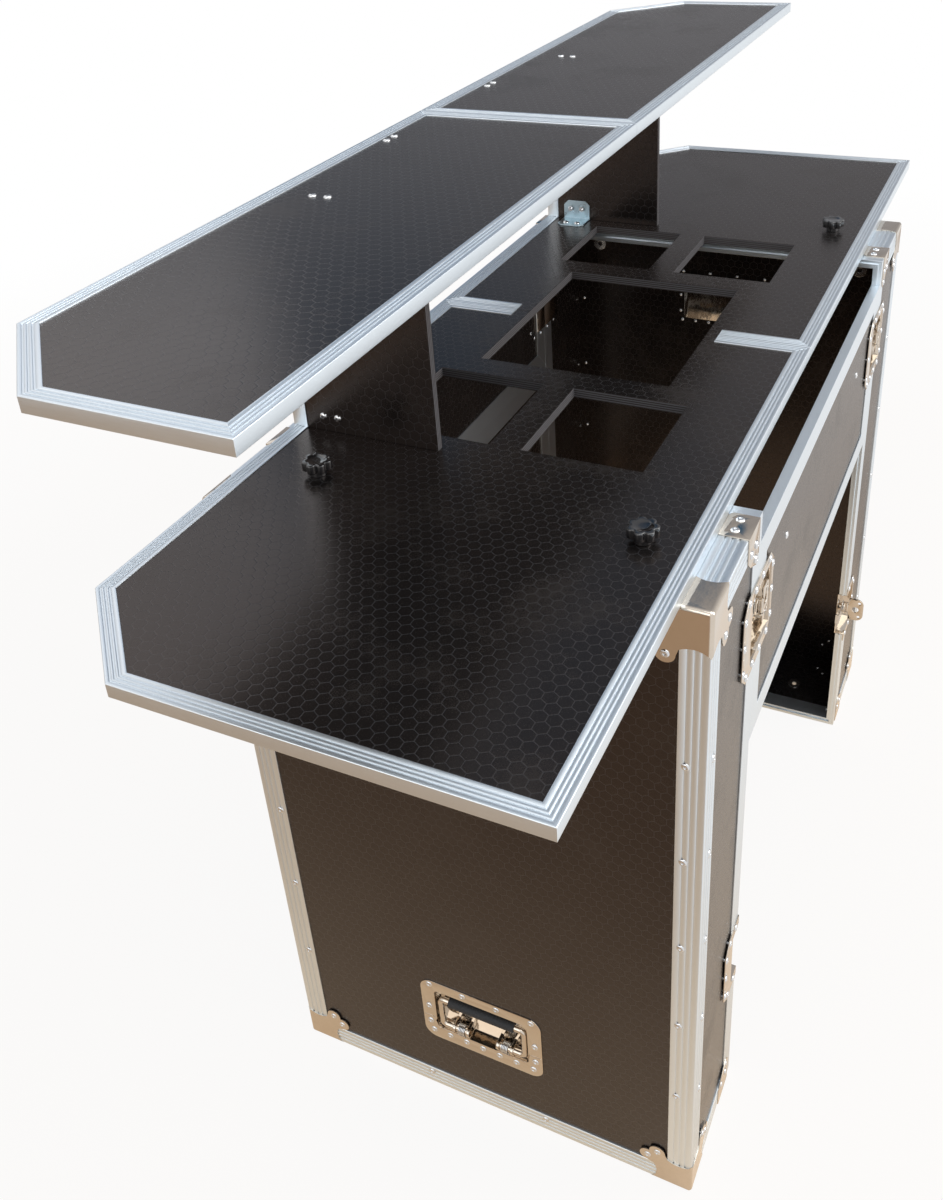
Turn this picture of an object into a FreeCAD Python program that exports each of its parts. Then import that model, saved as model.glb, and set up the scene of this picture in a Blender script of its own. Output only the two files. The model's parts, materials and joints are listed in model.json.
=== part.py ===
"""Portable bar made from flight-case parts.

Two open half cases stand on their end faces as legs, with removable panels between
them. Two worktop boards lie on the legs and meet in the middle. Each carries a fin,
and the two fins carry the two boards of the raised counter. Millimetres, +Z up.
X runs along the bar, +Y is the side where the bartender stands, -Y is the customers'
side. "Near" is the +X half and "far" is the -X half.
"""
import FreeCAD, Part
import math
import os

Vector = FreeCAD.Vector
X_AXIS = Vector(1, 0, 0)
Y_AXIS = Vector(0, 1, 0)
Z_AXIS = Vector(0, 0, 1)
ORIGIN = Vector(0, 0, 0)

# Heights, lengths and depths of the whole bar
work_height = 900.0
counter_height = 1158.0
worktop_length = 1600.0
counter_length = 1588.0
worktop_front = 252.0
worktop_back = 244.0
counter_front = 266.0
counter_back = 23.3
board_chamfer = 100.0
joint_gap = 0.3

# Half cases that serve as legs
leg_width = 546.0
leg_depth = 173.0
knee_width = 694.0
wall_ply = 9.0
case_skin = 1.6
case_flange = 30.0
rim_web = 4.0
ridge_height = 2.5
ridge_width = 3.0
fit_gap = 0.15
groove_width = 1.4
groove_depth = 0.5
case_groove_places = (8.0, 15.0, 22.0)

# Boards of the worktop, the counter and the fins
board_ply = 12.0
board_skin = 1.2
board_flange = 18.0
board_groove_places = (4.5, 8.5, 12.5)
fin_ply = 9.5
fin_face = 372.6
fin_back = 69.5

# Cut-outs in the worktop and the joint strips beside the middle one
well_half_length = 150.0
well_front = 126.0
well_back = 114.4
bay_inner = 189.0
bay_outer = 340.0
front_bay_front = 160.0
front_bay_back = 24.4
back_bay_front = 12.4
back_bay_back = 148.1
joint_strip_front = 145.5
joint_strip_back = 130.0

# Panels between the legs
back_panel_height = 264.0
back_panel_drop = 38.0
front_top_height = 245.0
front_bottom_height = 340.0
panel_rivet_reach = 209.0
panel_rivet_drop = 118.0

# Star knobs, their studs and the nuts in the legs
near_knob_inset = 108.0
far_knob_inset = 71.0
knob_front = 167.5
knob_back = 187.5
knob_core_radius = 13.5
knob_lobe_radius = 4.5
knob_lobe_centre = 11.5
knob_lobe_count = 7
knob_height = 17.5
knob_hub_radius = 9.0
knob_hub_height = 6.5
stud_radius = 4.0
stud_hole_gap = 0.5
running_gap = 0.05
nut_flange_radius = 11.0
nut_flange_thick = 1.5
nut_barrel_radius = 5.2
end_nut_reach = 220.0
end_nut_drop = 82.0
end_nut_depth = 7.0

# Chrome corner caps and rim braces
cap_thick = 1.2
cap_reach = 50.0
cap_arc_sag = 4.0
cap_shoulder = 47.0
cap_lobe_far = 54.5
cap_lobe_near = 42.5
cap_lobe_radius = 10.0
cap_angle_gap = 31.0
brace_start = 13.5
brace_length = 41.5
brace_top_reach = 34.0
brace_side_reach = 50.0
brace_cut = 9.0
brace_near_rivet = 24.0
brace_far_rivet = 43.0
brace_top_rivet = 16.0
brace_side_rivet = 24.0
brace_low_rivet = 41.0

# Pop rivets
rivet_head_radius = 4.6
rivet_head_height = 1.5
rivet_radius = 1.9
rivet_hole_gap = 0.1
rivet_tail_radius = 2.9
rivet_tail_length = 2.4
case_rivet_inset = 21.0
case_rivet_lowest = 180.0
case_rivet_pitch = 129.5
case_rivet_count = 5
end_rivet_reach = 82.0
end_rivet_drop = 21.0

# Recessed case handles
handle_low_height = 160.5
handle_high_height = 722.0
handle_flange_length = 165.0
handle_flange_height = 110.0
handle_flange_radius = 17.0
handle_plate = 1.5
handle_sheet = 1.2
tub_length = 127.0
tub_height = 72.0
tub_radius = 6.0
tub_rise = 2.5
tub_depth = 14.5
wire_radius = 4.0
bail_reach = 57.5
bail_height = 47.0
bail_bend = 6.5
bail_tail = 38.5
pivot_drop = 29.0
pivot_depth = 3.0
grip_radius = 6.5
grip_length = 90.0
knuckle_width = 4.0
knuckle_inner = 19.0
knuckle_outer = 38.0
knuckle_wall = 2.0
spring_wire_radius = 0.7
spring_radius = 5.6
spring_turns = 5
spring_pitch = 1.9
handle_rivet_reach = 69.5
handle_rivet_rise = 48.0
handle_rivet_drop = 41.5
handle_side_rise = 4.3
handle_side_drop = 25.1

# Recessed butterfly latches
latch_low_height = 248.0
latch_high_height = 752.0
latch_height = 108.0
latch_cut = 16.0
latch_plate = 1.5
latch_sheet = 1.2
latch_tub_half = 40.0
latch_tub_depth = 13.0
wing_side_length = 62.0
wing_tub_length = 53.0
strike_side_length = 57.0
strike_tub_length = 26.0
latch_column_inset = 5.0
latch_row_inset = 7.0
latch_mid_row = 33.0
latch_rim_column = 14.0
cam_centre = 22.5
cam_pin_radius = 3.0
cam_post_radius = 7.0
cam_disc_radius = 10.0
cam_disc_thick = 2.6
cam_ear_inner = 8.1
cam_ear_outer = 11.0
cam_ear_half = 2.2
hook_thick = 2.0
hook_rise = 4.5
hook_ring_radius = 11.0
hook_half_width = 9.0
hook_reach = 15.0
hook_tooth = 2.7
hook_clearance = 0.3
strike_half_width = 14.0
wing_reach = 27.0
wing_half = 22.0
wing_corner = 12.0
wing_thick = 2.0
wing_root = 2.7
wing_barrel_radius = 1.8
wing_pin_radius = 1.2
wing_axis_depth = 1.8
wing_hole_radius = 5.5
wing_hole_reach = 14.0
wing_small_radius = 2.5
wing_small_reach = 20.0
wing_small_half = 14.0

# Angle brackets and bolts of the fins and the counter
bracket_half = 21.5
bracket_leaf = 30.0
bracket_base = 37.0
bracket_thick = 2.0
bracket_cut = 7.0
bracket_centre = 202.0
bolt_half_pitch = 9.25
bolt_rise = 18.0
bolt_run = 26.0
bolt_radius = 2.5
bolt_hole_gap = 0.2
bolt_head_radius = 4.6
bolt_head_height = 2.4
bolt_nut_radius = 4.6
bolt_nut_height = 4.0
bolt_end = 1.5
bolt_dome_share = 0.7
near_edge_pair = 123.0
far_edge_pair = 153.0
edge_pair_inset = 26.0

# Places that follow from the sizes above
board_thick = board_ply + 2 * board_skin
leg_top = work_height - board_thick
case_low = cap_thick
case_high = leg_top - cap_thick
case_stack = wall_ply + 2 * case_skin
half_width = leg_width / 2
rim_x = knee_width / 2
leg_end = rim_x + leg_depth
counter_under = counter_height - board_thick
wall_out = case_skin
wall_in = case_skin + wall_ply
knob_insets = {"near": near_knob_inset, "far": far_knob_inset}
edge_pairs = {"near": near_edge_pair, "far": far_edge_pair}
latch_heights = {"lower": latch_low_height, "upper": latch_high_height}
back_panel_top = leg_top - back_panel_drop
back_panel_low = back_panel_top - back_panel_height
front_split = case_low + front_bottom_height
handle_heights = {"lower": handle_low_height, "upper": handle_high_height}
wing_axis = latch_plate - wing_axis_depth
open_wing_reach = half_width + wing_axis + wing_reach
closed_reach = half_width + latch_plate + rivet_head_height
frame_shift = (open_wing_reach - closed_reach) / 2


# Shape helpers


def box(low, high):
    """Solid box between two corners."""
    size = Vector(*high) - Vector(*low)
    return Part.makeBox(size.x, size.y, size.z, Vector(*low))


def prism(points, low, high):
    """Upright prism over a flat outline of (x, y) points."""
    corners = [Vector(x, y, low) for x, y in points]
    face = Part.Face(Part.makePolygon(corners + corners[:1]))
    return face.extrude(Vector(0, 0, high - low))


def rod(radius, start, end):
    """Round rod from one point to another."""
    run = Vector(*end) - Vector(*start)
    return Part.makeCylinder(radius, run.Length, Vector(*start), run)


def join(first, others):
    """One solid from touching or overlapping solids."""
    return first.fuse(list(others)).removeSplitter()


def placed(shape, origin, across, up):
    """Copy with local x along across, local y along up and local z square to both."""
    out = across.cross(up)
    matrix = FreeCAD.Matrix(across.x, up.x, out.x, origin.x,
                            across.y, up.y, out.y, origin.y,
                            across.z, up.z, out.z, origin.z,
                            0, 0, 0, 1)
    copy = shape.copy()
    copy.Placement = FreeCAD.Placement(matrix).multiply(copy.Placement)
    return copy


def moved(shape, x=0, y=0, z=0):
    """Copy moved by an offset."""
    return shape.translated(Vector(x, y, z))


def flipped(shape, normal, at=ORIGIN):
    """Copy mirrored in the plane through a point."""
    return shape.mirror(at, normal)


def rounded_plate(length, height, radius, low, high):
    """Flat plate centred on the origin with four round corners."""
    plate = box((-length / 2, -height / 2, low), (length / 2, height / 2, high))
    uprights = [edge for edge in plate.Edges
                if abs(edge.Vertexes[0].Z - edge.Vertexes[-1].Z) > 0]
    return plate.makeFillet(radius, uprights)


def inset_corner(outline, index, depth):
    """Corner of an anticlockwise outline moved inside by a depth off both its edges."""
    here = Vector(*outline[index % len(outline)])
    before = Vector(*outline[(index - 1) % len(outline)])
    after = Vector(*outline[(index + 1) % len(outline)])
    inward_in = Z_AXIS.cross((here - before).normalize())
    inward_out = Z_AXIS.cross((after - here).normalize())
    both = inward_in + inward_out
    place = here + both * (depth / (1 + inward_in.dot(inward_out)))
    return (place.x, place.y)


def strip(outline, index, near, far, low, high):
    """Mitred strip along one edge of an outline, between two depths inside it."""
    corners = [inset_corner(outline, index, near), inset_corner(outline, index + 1, near),
               inset_corner(outline, index + 1, far), inset_corner(outline, index, far)]
    return prism(corners, low, high)


def edge_profile(outline, index, low, high, web, skin, flange, grooves):
    """One mitred length of channel along an edge, with grooves in its upper flange."""
    channel = join(strip(outline, index, 0, web, low, high),
                   [strip(outline, index, 0, flange, high - skin, high),
                    strip(outline, index, 0, flange, low, low + skin)])
    slots = [strip(outline, index, place - groove_width / 2, place + groove_width / 2,
                   high - groove_depth, high + groove_depth) for place in grooves]
    return channel.cut(slots)


def mirrored_points(points):
    """Outline points with x and y exchanged, in reverse order."""
    return [(y, x) for x, y in reversed(points)]


# Rivets and their holes

rivet_places = []


def rivet_solid(grip, is_flush):
    """Rivet with a tail below the grip and a domed head, or a flush end, at z = 0."""
    dome_middle = rivet_head_radius * math.cos(math.pi / 4)
    dome_height = rivet_head_height * math.sin(math.pi / 4)
    crown = Vector(0, 0, rivet_head_height)
    brim = Vector(rivet_head_radius, 0, 0)
    dome = Part.Arc(crown, Vector(dome_middle, 0, dome_height), brim).toShape()
    tail_end = -grip - rivet_tail_length
    corners = [Vector(rivet_radius, 0, 0), Vector(rivet_radius, 0, -grip),
               Vector(rivet_tail_radius, 0, -grip), Vector(rivet_radius, 0, tail_end),
               Vector(0, 0, tail_end)]
    if is_flush:
        wire = Part.makePolygon([ORIGIN] + corners + [ORIGIN])
    else:
        wire = Part.Wire([dome] + Part.makePolygon([brim] + corners + [crown]).Edges)
    return Part.Face(wire).revolve(ORIGIN, Z_AXIS, 360)


def add_rivet(point, normal, grip, is_flush=False):
    """Note a rivet by the middle of its head's seat, its outward normal and its grip."""
    rivet_places.append((Vector(*point), normal, grip, is_flush))


def rivet_group(places):
    """All noted rivets as separate solids."""
    patterns = {}
    solids = []
    for point, normal, grip, is_flush in places:
        kind = (grip, is_flush)
        if kind not in patterns:
            patterns[kind] = rivet_solid(grip, is_flush)
        across = Z_AXIS if abs(normal.z) == 0 else X_AXIS
        solids.append(placed(patterns[kind], point, across, normal.cross(across)))
    return solids


def drilled(shape, places):
    """Shape with a clearance hole for each rivet that passes through it."""
    holes = []
    for point, normal, grip, _ in places:
        hole = Part.makeCylinder(rivet_radius + rivet_hole_gap, grip, point, normal * -1)
        if shape.BoundBox.intersect(hole.BoundBox):
            holes.append(hole)
    return shape.cut(holes) if holes else shape


def four_ways(shape):
    """Copies of a near, back, upper piece at the four corners of one leg's section."""
    middle = Vector(0, 0, leg_top / 2)
    pair = [shape, flipped(shape, Y_AXIS)]
    return pair + [flipped(copy, Z_AXIS, middle) for copy in pair]


def both_legs(shapes):
    """Near pieces with their mirror images on the far leg."""
    return shapes + [flipped(shape, X_AXIS) for shape in shapes]


# Legs


def end_wall():
    """Plywood end of the near half case."""
    return box((leg_end - wall_in, -half_width + wall_out, case_low + wall_out),
               (leg_end - wall_out, half_width - wall_out, case_high - wall_out))


def side_walls():
    """Plywood walls of the near half case on the back and front sides."""
    back = box((rim_x + rim_web, half_width - wall_in, case_low + wall_out),
               (leg_end - wall_in, half_width - wall_out, case_high - wall_out))
    return [back, flipped(back, Y_AXIS)]


def top_and_bottom_walls():
    """Plywood walls of the near half case at its top and bottom."""
    top = box((rim_x + rim_web, -half_width + wall_in, case_high - wall_in),
              (leg_end - wall_in, half_width - wall_in, case_high - wall_out))
    return [top, flipped(top, Z_AXIS, Vector(0, 0, leg_top / 2))]


def rim_outline():
    """Section of a half case across the bar, as (y, z) corners."""
    return [(-half_width, case_low), (half_width, case_low),
            (half_width, case_high), (-half_width, case_high)]


def ridge_strip(index, spare):
    """Ridge along one side of the rim, with some spare room all round it."""
    half = ridge_width / 2 + spare
    middle = case_stack / 2
    return strip(rim_outline(), index, middle - half, middle + half, -ridge_height - spare, rim_web)


def ridge_room():
    """Room for the ridges of both rims, to be cut out of what meets them."""
    place = Vector(rim_x, 0, 0)
    near = [placed(ridge_strip(index, fit_gap), place, Y_AXIS, Z_AXIS) for index in range(4)]
    return both_legs(near)


def rim_lengths():
    """Four mitred lengths of hybrid channel round the open rim, with their ridge."""
    outline = rim_outline()
    lengths = []
    for index in range(len(outline)):
        parts = [strip(outline, index, 0, case_skin, 0, case_flange),
                 strip(outline, index, case_stack - case_skin, case_stack, 0, case_flange),
                 ridge_strip(index, 0)]
        length = join(strip(outline, index, 0, case_stack, 0, rim_web), parts)
        lengths.append(placed(length, Vector(rim_x, 0, 0), Y_AXIS, Z_AXIS))
    return lengths


def angle_length(run):
    """Grooved angle with its outer corner on the z axis and leaves along x and y."""
    leaf = [(0, 0)]
    for place in case_groove_places:
        left = place - groove_width / 2
        right = place + groove_width / 2
        leaf += [(left, 0), (left, groove_depth), (right, groove_depth), (right, 0)]
    leaf += [(case_flange, 0), (case_flange, case_skin), (case_skin, case_skin)]
    points = leaf + mirrored_points(leaf)[1:-1]
    return prism(points, 0, run)


def edge_angles():
    """Angles on the eight outer edges of the near half case, stopped at the caps."""
    along = angle_length(leg_depth - case_flange - cap_angle_gap)
    upright = angle_length(case_high - case_low - 2 * cap_angle_gap)
    level = angle_length(leg_width - 2 * cap_angle_gap)
    depth_wise = placed(along, Vector(rim_x + case_flange, half_width, case_high),
                        Y_AXIS * -1, Z_AXIS * -1)
    corner = Vector(leg_end, half_width, case_low + cap_angle_gap)
    standing = placed(upright, corner, X_AXIS * -1, Y_AXIS * -1)
    corner = Vector(leg_end, -half_width + cap_angle_gap, case_high)
    lying = placed(level, corner, Z_AXIS * -1, X_AXIS * -1)
    low = flipped(lying, Z_AXIS, Vector(0, 0, leg_top / 2))
    return four_ways(depth_wise) + [standing, flipped(standing, Y_AXIS), lying, low]


def cap_face():
    """One face of a corner cap, with its corner at the origin and its lobes inside."""
    far_lobe = Vector(cap_lobe_far, cap_lobe_near, 0)
    near_lobe = Vector(cap_lobe_near, cap_lobe_far, 0)
    half_span = (far_lobe - near_lobe).Length / 2
    rise = math.sqrt(cap_lobe_radius ** 2 - half_span ** 2)
    diagonal = Vector(1, 1, 0).normalize()
    notch = (far_lobe + near_lobe) / 2 + diagonal * rise
    low_side = far_lobe + Vector(0, -cap_lobe_radius, 0)
    outer_side = far_lobe + Vector(cap_lobe_radius, 0, 0)
    edge_end = Vector(cap_reach, -cap_thick, 0)
    shoulder = Vector(cap_shoulder, case_flange, 0)
    waist = Vector(cap_shoulder - cap_arc_sag, case_flange / 2, 0)
    right = [Part.LineSegment(Vector(-cap_thick, -cap_thick, 0), edge_end).toShape(),
             Part.Arc(edge_end, waist, shoulder).toShape(),
             Part.LineSegment(shoulder, low_side).toShape(),
             Part.Arc(low_side, outer_side, notch).toShape()]
    left = [edge.mirror(ORIGIN, Vector(1, -1, 0)) for edge in right]
    wire = Part.Wire(Part.__sortEdges__(right + left))
    return Part.Face(wire).extrude(Vector(0, 0, -cap_thick))


def corner_cap():
    """Three-faced cap over the near, back, upper corner of the near half case."""
    face = cap_face()
    faces = [face]
    for turn in (120, 240):
        copy = face.copy()
        copy.rotate(ORIGIN, Vector(1, 1, 1), turn)
        faces.append(copy)
    cap = join(faces[0], faces[1:])
    turned = placed(cap, ORIGIN, X_AXIS * -1, Y_AXIS * -1)
    cap = flipped(turned, Z_AXIS)
    return moved(cap, leg_end, half_width, case_high)


def rim_brace():
    """Folded brace over the near, back, upper corner of the near rim."""
    start = rim_x + brace_start
    end = start + brace_length
    top = box((start, half_width - brace_top_reach, case_high),
              (end, half_width + cap_thick, leg_top))
    side_points = [(start, leg_top), (end, leg_top),
                   (end, leg_top - brace_side_reach + brace_length / 2),
                   (end - brace_cut, leg_top - brace_side_reach + brace_length / 2 - brace_cut),
                   (start + brace_cut, leg_top - brace_side_reach),
                   (start, leg_top - brace_side_reach + brace_cut)]
    side = prism(side_points, 0, cap_thick)
    side = placed(side, Vector(0, half_width + cap_thick, 0), X_AXIS, Z_AXIS)
    corner = prism([(start, -brace_top_reach), (start + brace_cut, -brace_top_reach),
                    (start, -brace_top_reach + brace_cut)], case_high, leg_top)
    return join(top.cut(moved(corner, 0, half_width)), [side])


def case_rivets():
    """Rivets of the near leg's angles: places, outward normals, grips and flushness."""
    places = []
    for side in (1, -1):
        edge = side * half_width
        for step in range(case_rivet_count):
            height = case_rivet_lowest + step * case_rivet_pitch
            places.append(((leg_end, edge - side * case_rivet_inset, height), X_AXIS,
                           wall_in, False))
            places.append(((leg_end - case_rivet_inset, edge, height), Y_AXIS * side,
                           wall_in, False))
        for height in (case_low + end_rivet_drop, case_high - end_rivet_drop):
            places.append(((leg_end, side * end_rivet_reach, height), X_AXIS, wall_in, False))
    return places


def cap_rivets():
    """Rivets of the near leg's four corner caps, flush where something lies on them."""
    places = []
    grip = wall_in + cap_thick
    for side in (1, -1):
        side_face = side * (half_width + cap_thick)
        for end, base in ((1, case_high), (-1, case_low)):
            level_face = base + end * cap_thick
            for one, two in ((cap_lobe_far, cap_lobe_near), (cap_lobe_near, cap_lobe_far)):
                places.append(((leg_end + cap_thick, side * (half_width - one),
                                base - end * two), X_AXIS, grip, False))
                places.append(((leg_end - one, side_face, base - end * two),
                               Y_AXIS * side, grip, False))
                places.append(((leg_end - one, side * (half_width - two), level_face),
                               Z_AXIS * end, grip, True))
    return places


def brace_rivets():
    """Rivets of the near leg's four rim braces, flush where they stand on the floor."""
    places = []
    thin = wall_in + cap_thick
    full = case_stack + cap_thick
    for side in (1, -1):
        side_face = side * (half_width + cap_thick)
        for end, base in ((1, case_high), (-1, case_low)):
            level_face = base + end * cap_thick
            for run, grip in ((brace_near_rivet, full), (brace_far_rivet, thin)):
                places.append(((rim_x + run, side * (half_width - brace_top_rivet), level_face),
                               Z_AXIS * end, grip, end < 0))
                places.append(((rim_x + run, side_face, base - end * brace_side_rivet),
                               Y_AXIS * side, grip, False))
            places.append(((rim_x + brace_near_rivet, side_face, base - end * brace_low_rivet),
                           Y_AXIS * side, full, False))
    return places


def note_leg_rivets():
    """Note the rivets of the near leg and their mirror images on the far one."""
    for point, normal, grip, is_flush in case_rivets() + cap_rivets() + brace_rivets():
        add_rivet(point, normal, grip, is_flush)
        mirrored = (-point[0], point[1], point[2])
        add_rivet(mirrored, Vector(-normal.x, normal.y, normal.z), grip, is_flush)


# Nuts pressed into the legs


def flanged_nut(length):
    """Pronged nut: flange below the plane z = 0, barrel above it and bore through."""
    flange = Part.makeCylinder(nut_flange_radius, nut_flange_thick, Vector(0, 0, -nut_flange_thick))
    body = flange.fuse(Part.makeCylinder(nut_barrel_radius, length))
    bore = Part.makeCylinder(stud_radius + running_gap, length + nut_flange_thick,
                             Vector(0, 0, -nut_flange_thick))
    return body.cut(bore)


def leg_nuts():
    """Nuts in the top, bottom and end walls of both legs, and the holes they need."""
    nuts = []
    holes = []
    middle = Vector(0, 0, leg_top / 2)
    for end, side in (("near", 1), ("far", -1)):
        for reach in (-knob_front, knob_back):
            place = Vector(side * (rim_x + knob_insets[end]), reach, case_high - wall_in)
            nut = placed(flanged_nut(wall_ply), place, X_AXIS, Y_AXIS)
            hole = Part.makeCylinder(nut_barrel_radius + fit_gap, wall_ply, place)
            nuts += [nut, flipped(nut, Z_AXIS, middle)]
            holes += [hole, flipped(hole, Z_AXIS, middle)]
        for reach in (-end_nut_reach, end_nut_reach):
            place = Vector(side * (leg_end - wall_in), reach, leg_top - end_nut_drop)
            out = X_AXIS * side
            nuts.append(placed(flanged_nut(end_nut_depth), place, Y_AXIS * side, Z_AXIS))
            holes.append(Part.makeCylinder(nut_barrel_radius + fit_gap,
                                           end_nut_depth + fit_gap, place, out))
    return nuts, holes


# Panels between the legs


def panel(low, high):
    """Board and four channels of one back panel between two heights."""
    half = rim_x - fit_gap
    outline = [(-half, low), (half, low), (half, high), (-half, high)]
    inner = [inset_corner(outline, index, rim_web) for index in range(len(outline))]
    board = prism(inner, case_skin, case_skin + wall_ply)
    place = Vector(0, half_width, 0)
    slots = ridge_room()
    channels = []
    for index in range(len(outline)):
        channel = edge_profile(outline, index, 0, case_stack, rim_web, case_skin, case_flange, ())
        channels.append(placed(channel, place, X_AXIS, Z_AXIS).cut(slots))
    return placed(board, place, X_AXIS, Z_AXIS), channels


# Handles, drawn with x across, y up and z out of the end wall


def coil(radius, pitch, turns, wire):
    """Round wire wound along +z, as tangent pairs of arcs for each half turn."""
    def state(half_turns):
        angle = half_turns * math.pi
        point = Vector(radius * math.cos(angle), radius * math.sin(angle), pitch * half_turns / 2)
        slope = pitch / (2 * math.pi)
        tangent = Vector(-radius * math.sin(angle), radius * math.cos(angle), slope)
        return point, tangent.normalize()

    def arc(start, bend, end):
        middle = (start + end) / 2
        reach = (start - bend).Length
        half_chord = (start - middle).Length
        drop = (middle - bend).Length
        crown = bend + (middle - bend) * (reach * (reach - half_chord) / drop ** 2)
        return Part.Arc(start, crown, end).toShape()

    edges = []
    for step in range(2 * turns):
        start, leave = state(step)
        end, arrive = state(step + 1)
        run = end - start
        along = run.dot(leave + arrive)
        turn = 1 - leave.dot(arrive)
        reach = (-along + math.sqrt(along ** 2 + 2 * turn * run.dot(run))) / (2 * turn)
        first = start + leave * reach
        second = end - arrive * reach
        joint = (first + second) / 2
        edges += [arc(start, first, joint), arc(joint, second, end)]
    start, leave = state(0)
    section = Part.Wire([Part.makeCircle(wire, start, leave)])
    shell = Part.BRepOffsetAPI.MakePipeShell(Part.Wire(edges))
    shell.add(section)
    shell.build()
    shell.makeSolid()
    return shell.shape()


def handle_dish():
    """Pressed dish with its flange, and four knuckles for the bail."""
    flange = rounded_plate(handle_flange_length, handle_flange_height, handle_flange_radius,
                           0, handle_plate)
    outer = rounded_plate(tub_length + 2 * handle_sheet, tub_height + 2 * handle_sheet,
                          tub_radius + handle_sheet, -tub_depth - handle_sheet, 0)
    inner = rounded_plate(tub_length, tub_height, tub_radius, -tub_depth, handle_plate)
    dish = flange.fuse(moved(outer, 0, tub_rise)).cut(moved(inner, 0, tub_rise))
    pivot_y = tub_rise - pivot_drop
    knuckle_half = wire_radius + knuckle_wall
    for start in (knuckle_inner, knuckle_outer):
        ear = box((start, pivot_y - knuckle_half, -tub_depth),
                  (start + knuckle_width, pivot_y + knuckle_half, -pivot_depth))
        cheek = rod(knuckle_half, (start, pivot_y, -pivot_depth),
                    (start + knuckle_width, pivot_y, -pivot_depth))
        ear = ear.fuse(cheek)
        dish = dish.fuse([ear, flipped(ear, X_AXIS)])
    bore = rod(wire_radius + running_gap, (-tub_length / 2, pivot_y, -pivot_depth),
               (tub_length / 2, pivot_y, -pivot_depth))
    return dish.removeSplitter().cut(bore)


def handle_bail():
    """Bent wire bail with its two inward tails on the pivot line."""
    pivot_y = tub_rise - pivot_drop
    top_y = pivot_y + bail_height
    bend = bail_bend
    near = bend * (1 - math.cos(math.pi / 4))
    tail_end = bail_reach - bail_tail

    def point(x, y):
        return Vector(x, y, -pivot_depth)

    right = [Part.LineSegment(point(tail_end, pivot_y),
                              point(bail_reach - bend, pivot_y)).toShape(),
             Part.Arc(point(bail_reach - bend, pivot_y), point(bail_reach - near, pivot_y + near),
                      point(bail_reach, pivot_y + bend)).toShape(),
             Part.LineSegment(point(bail_reach, pivot_y + bend),
                              point(bail_reach, top_y - bend)).toShape(),
             Part.Arc(point(bail_reach, top_y - bend), point(bail_reach - near, top_y - near),
                      point(bail_reach - bend, top_y)).toShape()]
    across = Part.LineSegment(point(bail_reach - bend, top_y),
                              point(-bail_reach + bend, top_y)).toShape()
    left = [edge.mirror(ORIGIN, X_AXIS) for edge in right]
    path = Part.Wire(Part.__sortEdges__(right + [across] + left))
    section = Part.Wire([Part.makeCircle(wire_radius, path.Edges[0].firstVertex().Point, X_AXIS)])
    return path.makePipeShell([section], True, True)


def handle_grip():
    """Rubber sleeve on the top bar of the bail."""
    top_y = tub_rise - pivot_drop + bail_height
    half = grip_length / 2
    ends = ((-half, top_y, -pivot_depth), (half, top_y, -pivot_depth))
    sleeve = rod(grip_radius, *ends)
    return sleeve.cut(rod(wire_radius, *ends))


def handle_springs():
    """Torsion springs round both tails of the bail, between their knuckles."""
    spring = coil(spring_radius, spring_pitch, spring_turns, spring_wire_radius)
    between = (knuckle_inner + knuckle_width + knuckle_outer) / 2
    start = between - spring_pitch * spring_turns / 2
    place = Vector(start, tub_rise - pivot_drop, -pivot_depth)
    spring = placed(spring, place, Y_AXIS, Z_AXIS)
    return [spring, flipped(spring, X_AXIS)]


def handle_rivet_spots():
    """Places of the rivets in the flange of a handle dish."""
    side = (handle_flange_length + tub_length) / 4
    spots = []
    top_columns = 4
    low_columns = 7
    for step in range(top_columns):
        across = -handle_rivet_reach + 2 * handle_rivet_reach * step / (top_columns - 1)
        spots.append((across, handle_rivet_rise))
    for step in range(low_columns):
        across = -handle_rivet_reach + 2 * handle_rivet_reach * step / (low_columns - 1)
        spots.append((across, -handle_rivet_drop))
    for reach in (-side, side):
        spots.append((reach, handle_side_rise))
        spots.append((reach, -handle_side_drop))
    return spots


def on_end(shape, height, side):
    """Handle piece put on the near or far end wall at a height."""
    piece = placed(shape, Vector(leg_end - wall_out, 0, height), Y_AXIS, Z_AXIS)
    return piece if side > 0 else flipped(piece, X_AXIS)


# Latches, drawn with x away from the rim on the wing side, y up and z out of the side


def latch_outline(length):
    """Outline of one half plate, square at the rim and cut off at its outer corners."""
    half = latch_height / 2
    return [(0, -half), (length - latch_cut, -half), (length, -half + latch_cut),
            (length, half - latch_cut), (length - latch_cut, half), (0, half)]


def half_dish(length, tub_length_here):
    """Plate and open-ended tub of one latch half, away from the rim at x = 0."""
    plate = prism(latch_outline(length), 0, latch_plate)
    sheet = latch_sheet
    outer = box((0, -latch_tub_half - sheet, -latch_tub_depth - sheet),
                (tub_length_here + sheet, latch_tub_half + sheet, 0))
    inner = box((-sheet, -latch_tub_half, -latch_tub_depth),
                (tub_length_here, latch_tub_half, latch_plate))
    return plate.fuse(outer).cut(inner).removeSplitter()


def wing_dish():
    """Latch half that carries the cam on a fixed pin."""
    pin = rod(cam_pin_radius, (cam_centre, 0, -latch_tub_depth),
              (cam_centre, 0, wing_axis - wing_barrel_radius - cam_pin_radius))
    return half_dish(wing_side_length, wing_tub_length).fuse(pin).removeSplitter()


def strike_dish():
    """Latch half with the lip that the hook holds."""
    lip_top = -latch_tub_depth + hook_rise - hook_clearance
    lip_end = hook_reach - hook_tooth - hook_clearance
    lip = box((lip_end - hook_tooth, -strike_half_width, -latch_tub_depth),
              (lip_end, strike_half_width, lip_top))
    dish = half_dish(strike_side_length, strike_tub_length).fuse(lip).removeSplitter()
    return flipped(dish, X_AXIS)


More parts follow.
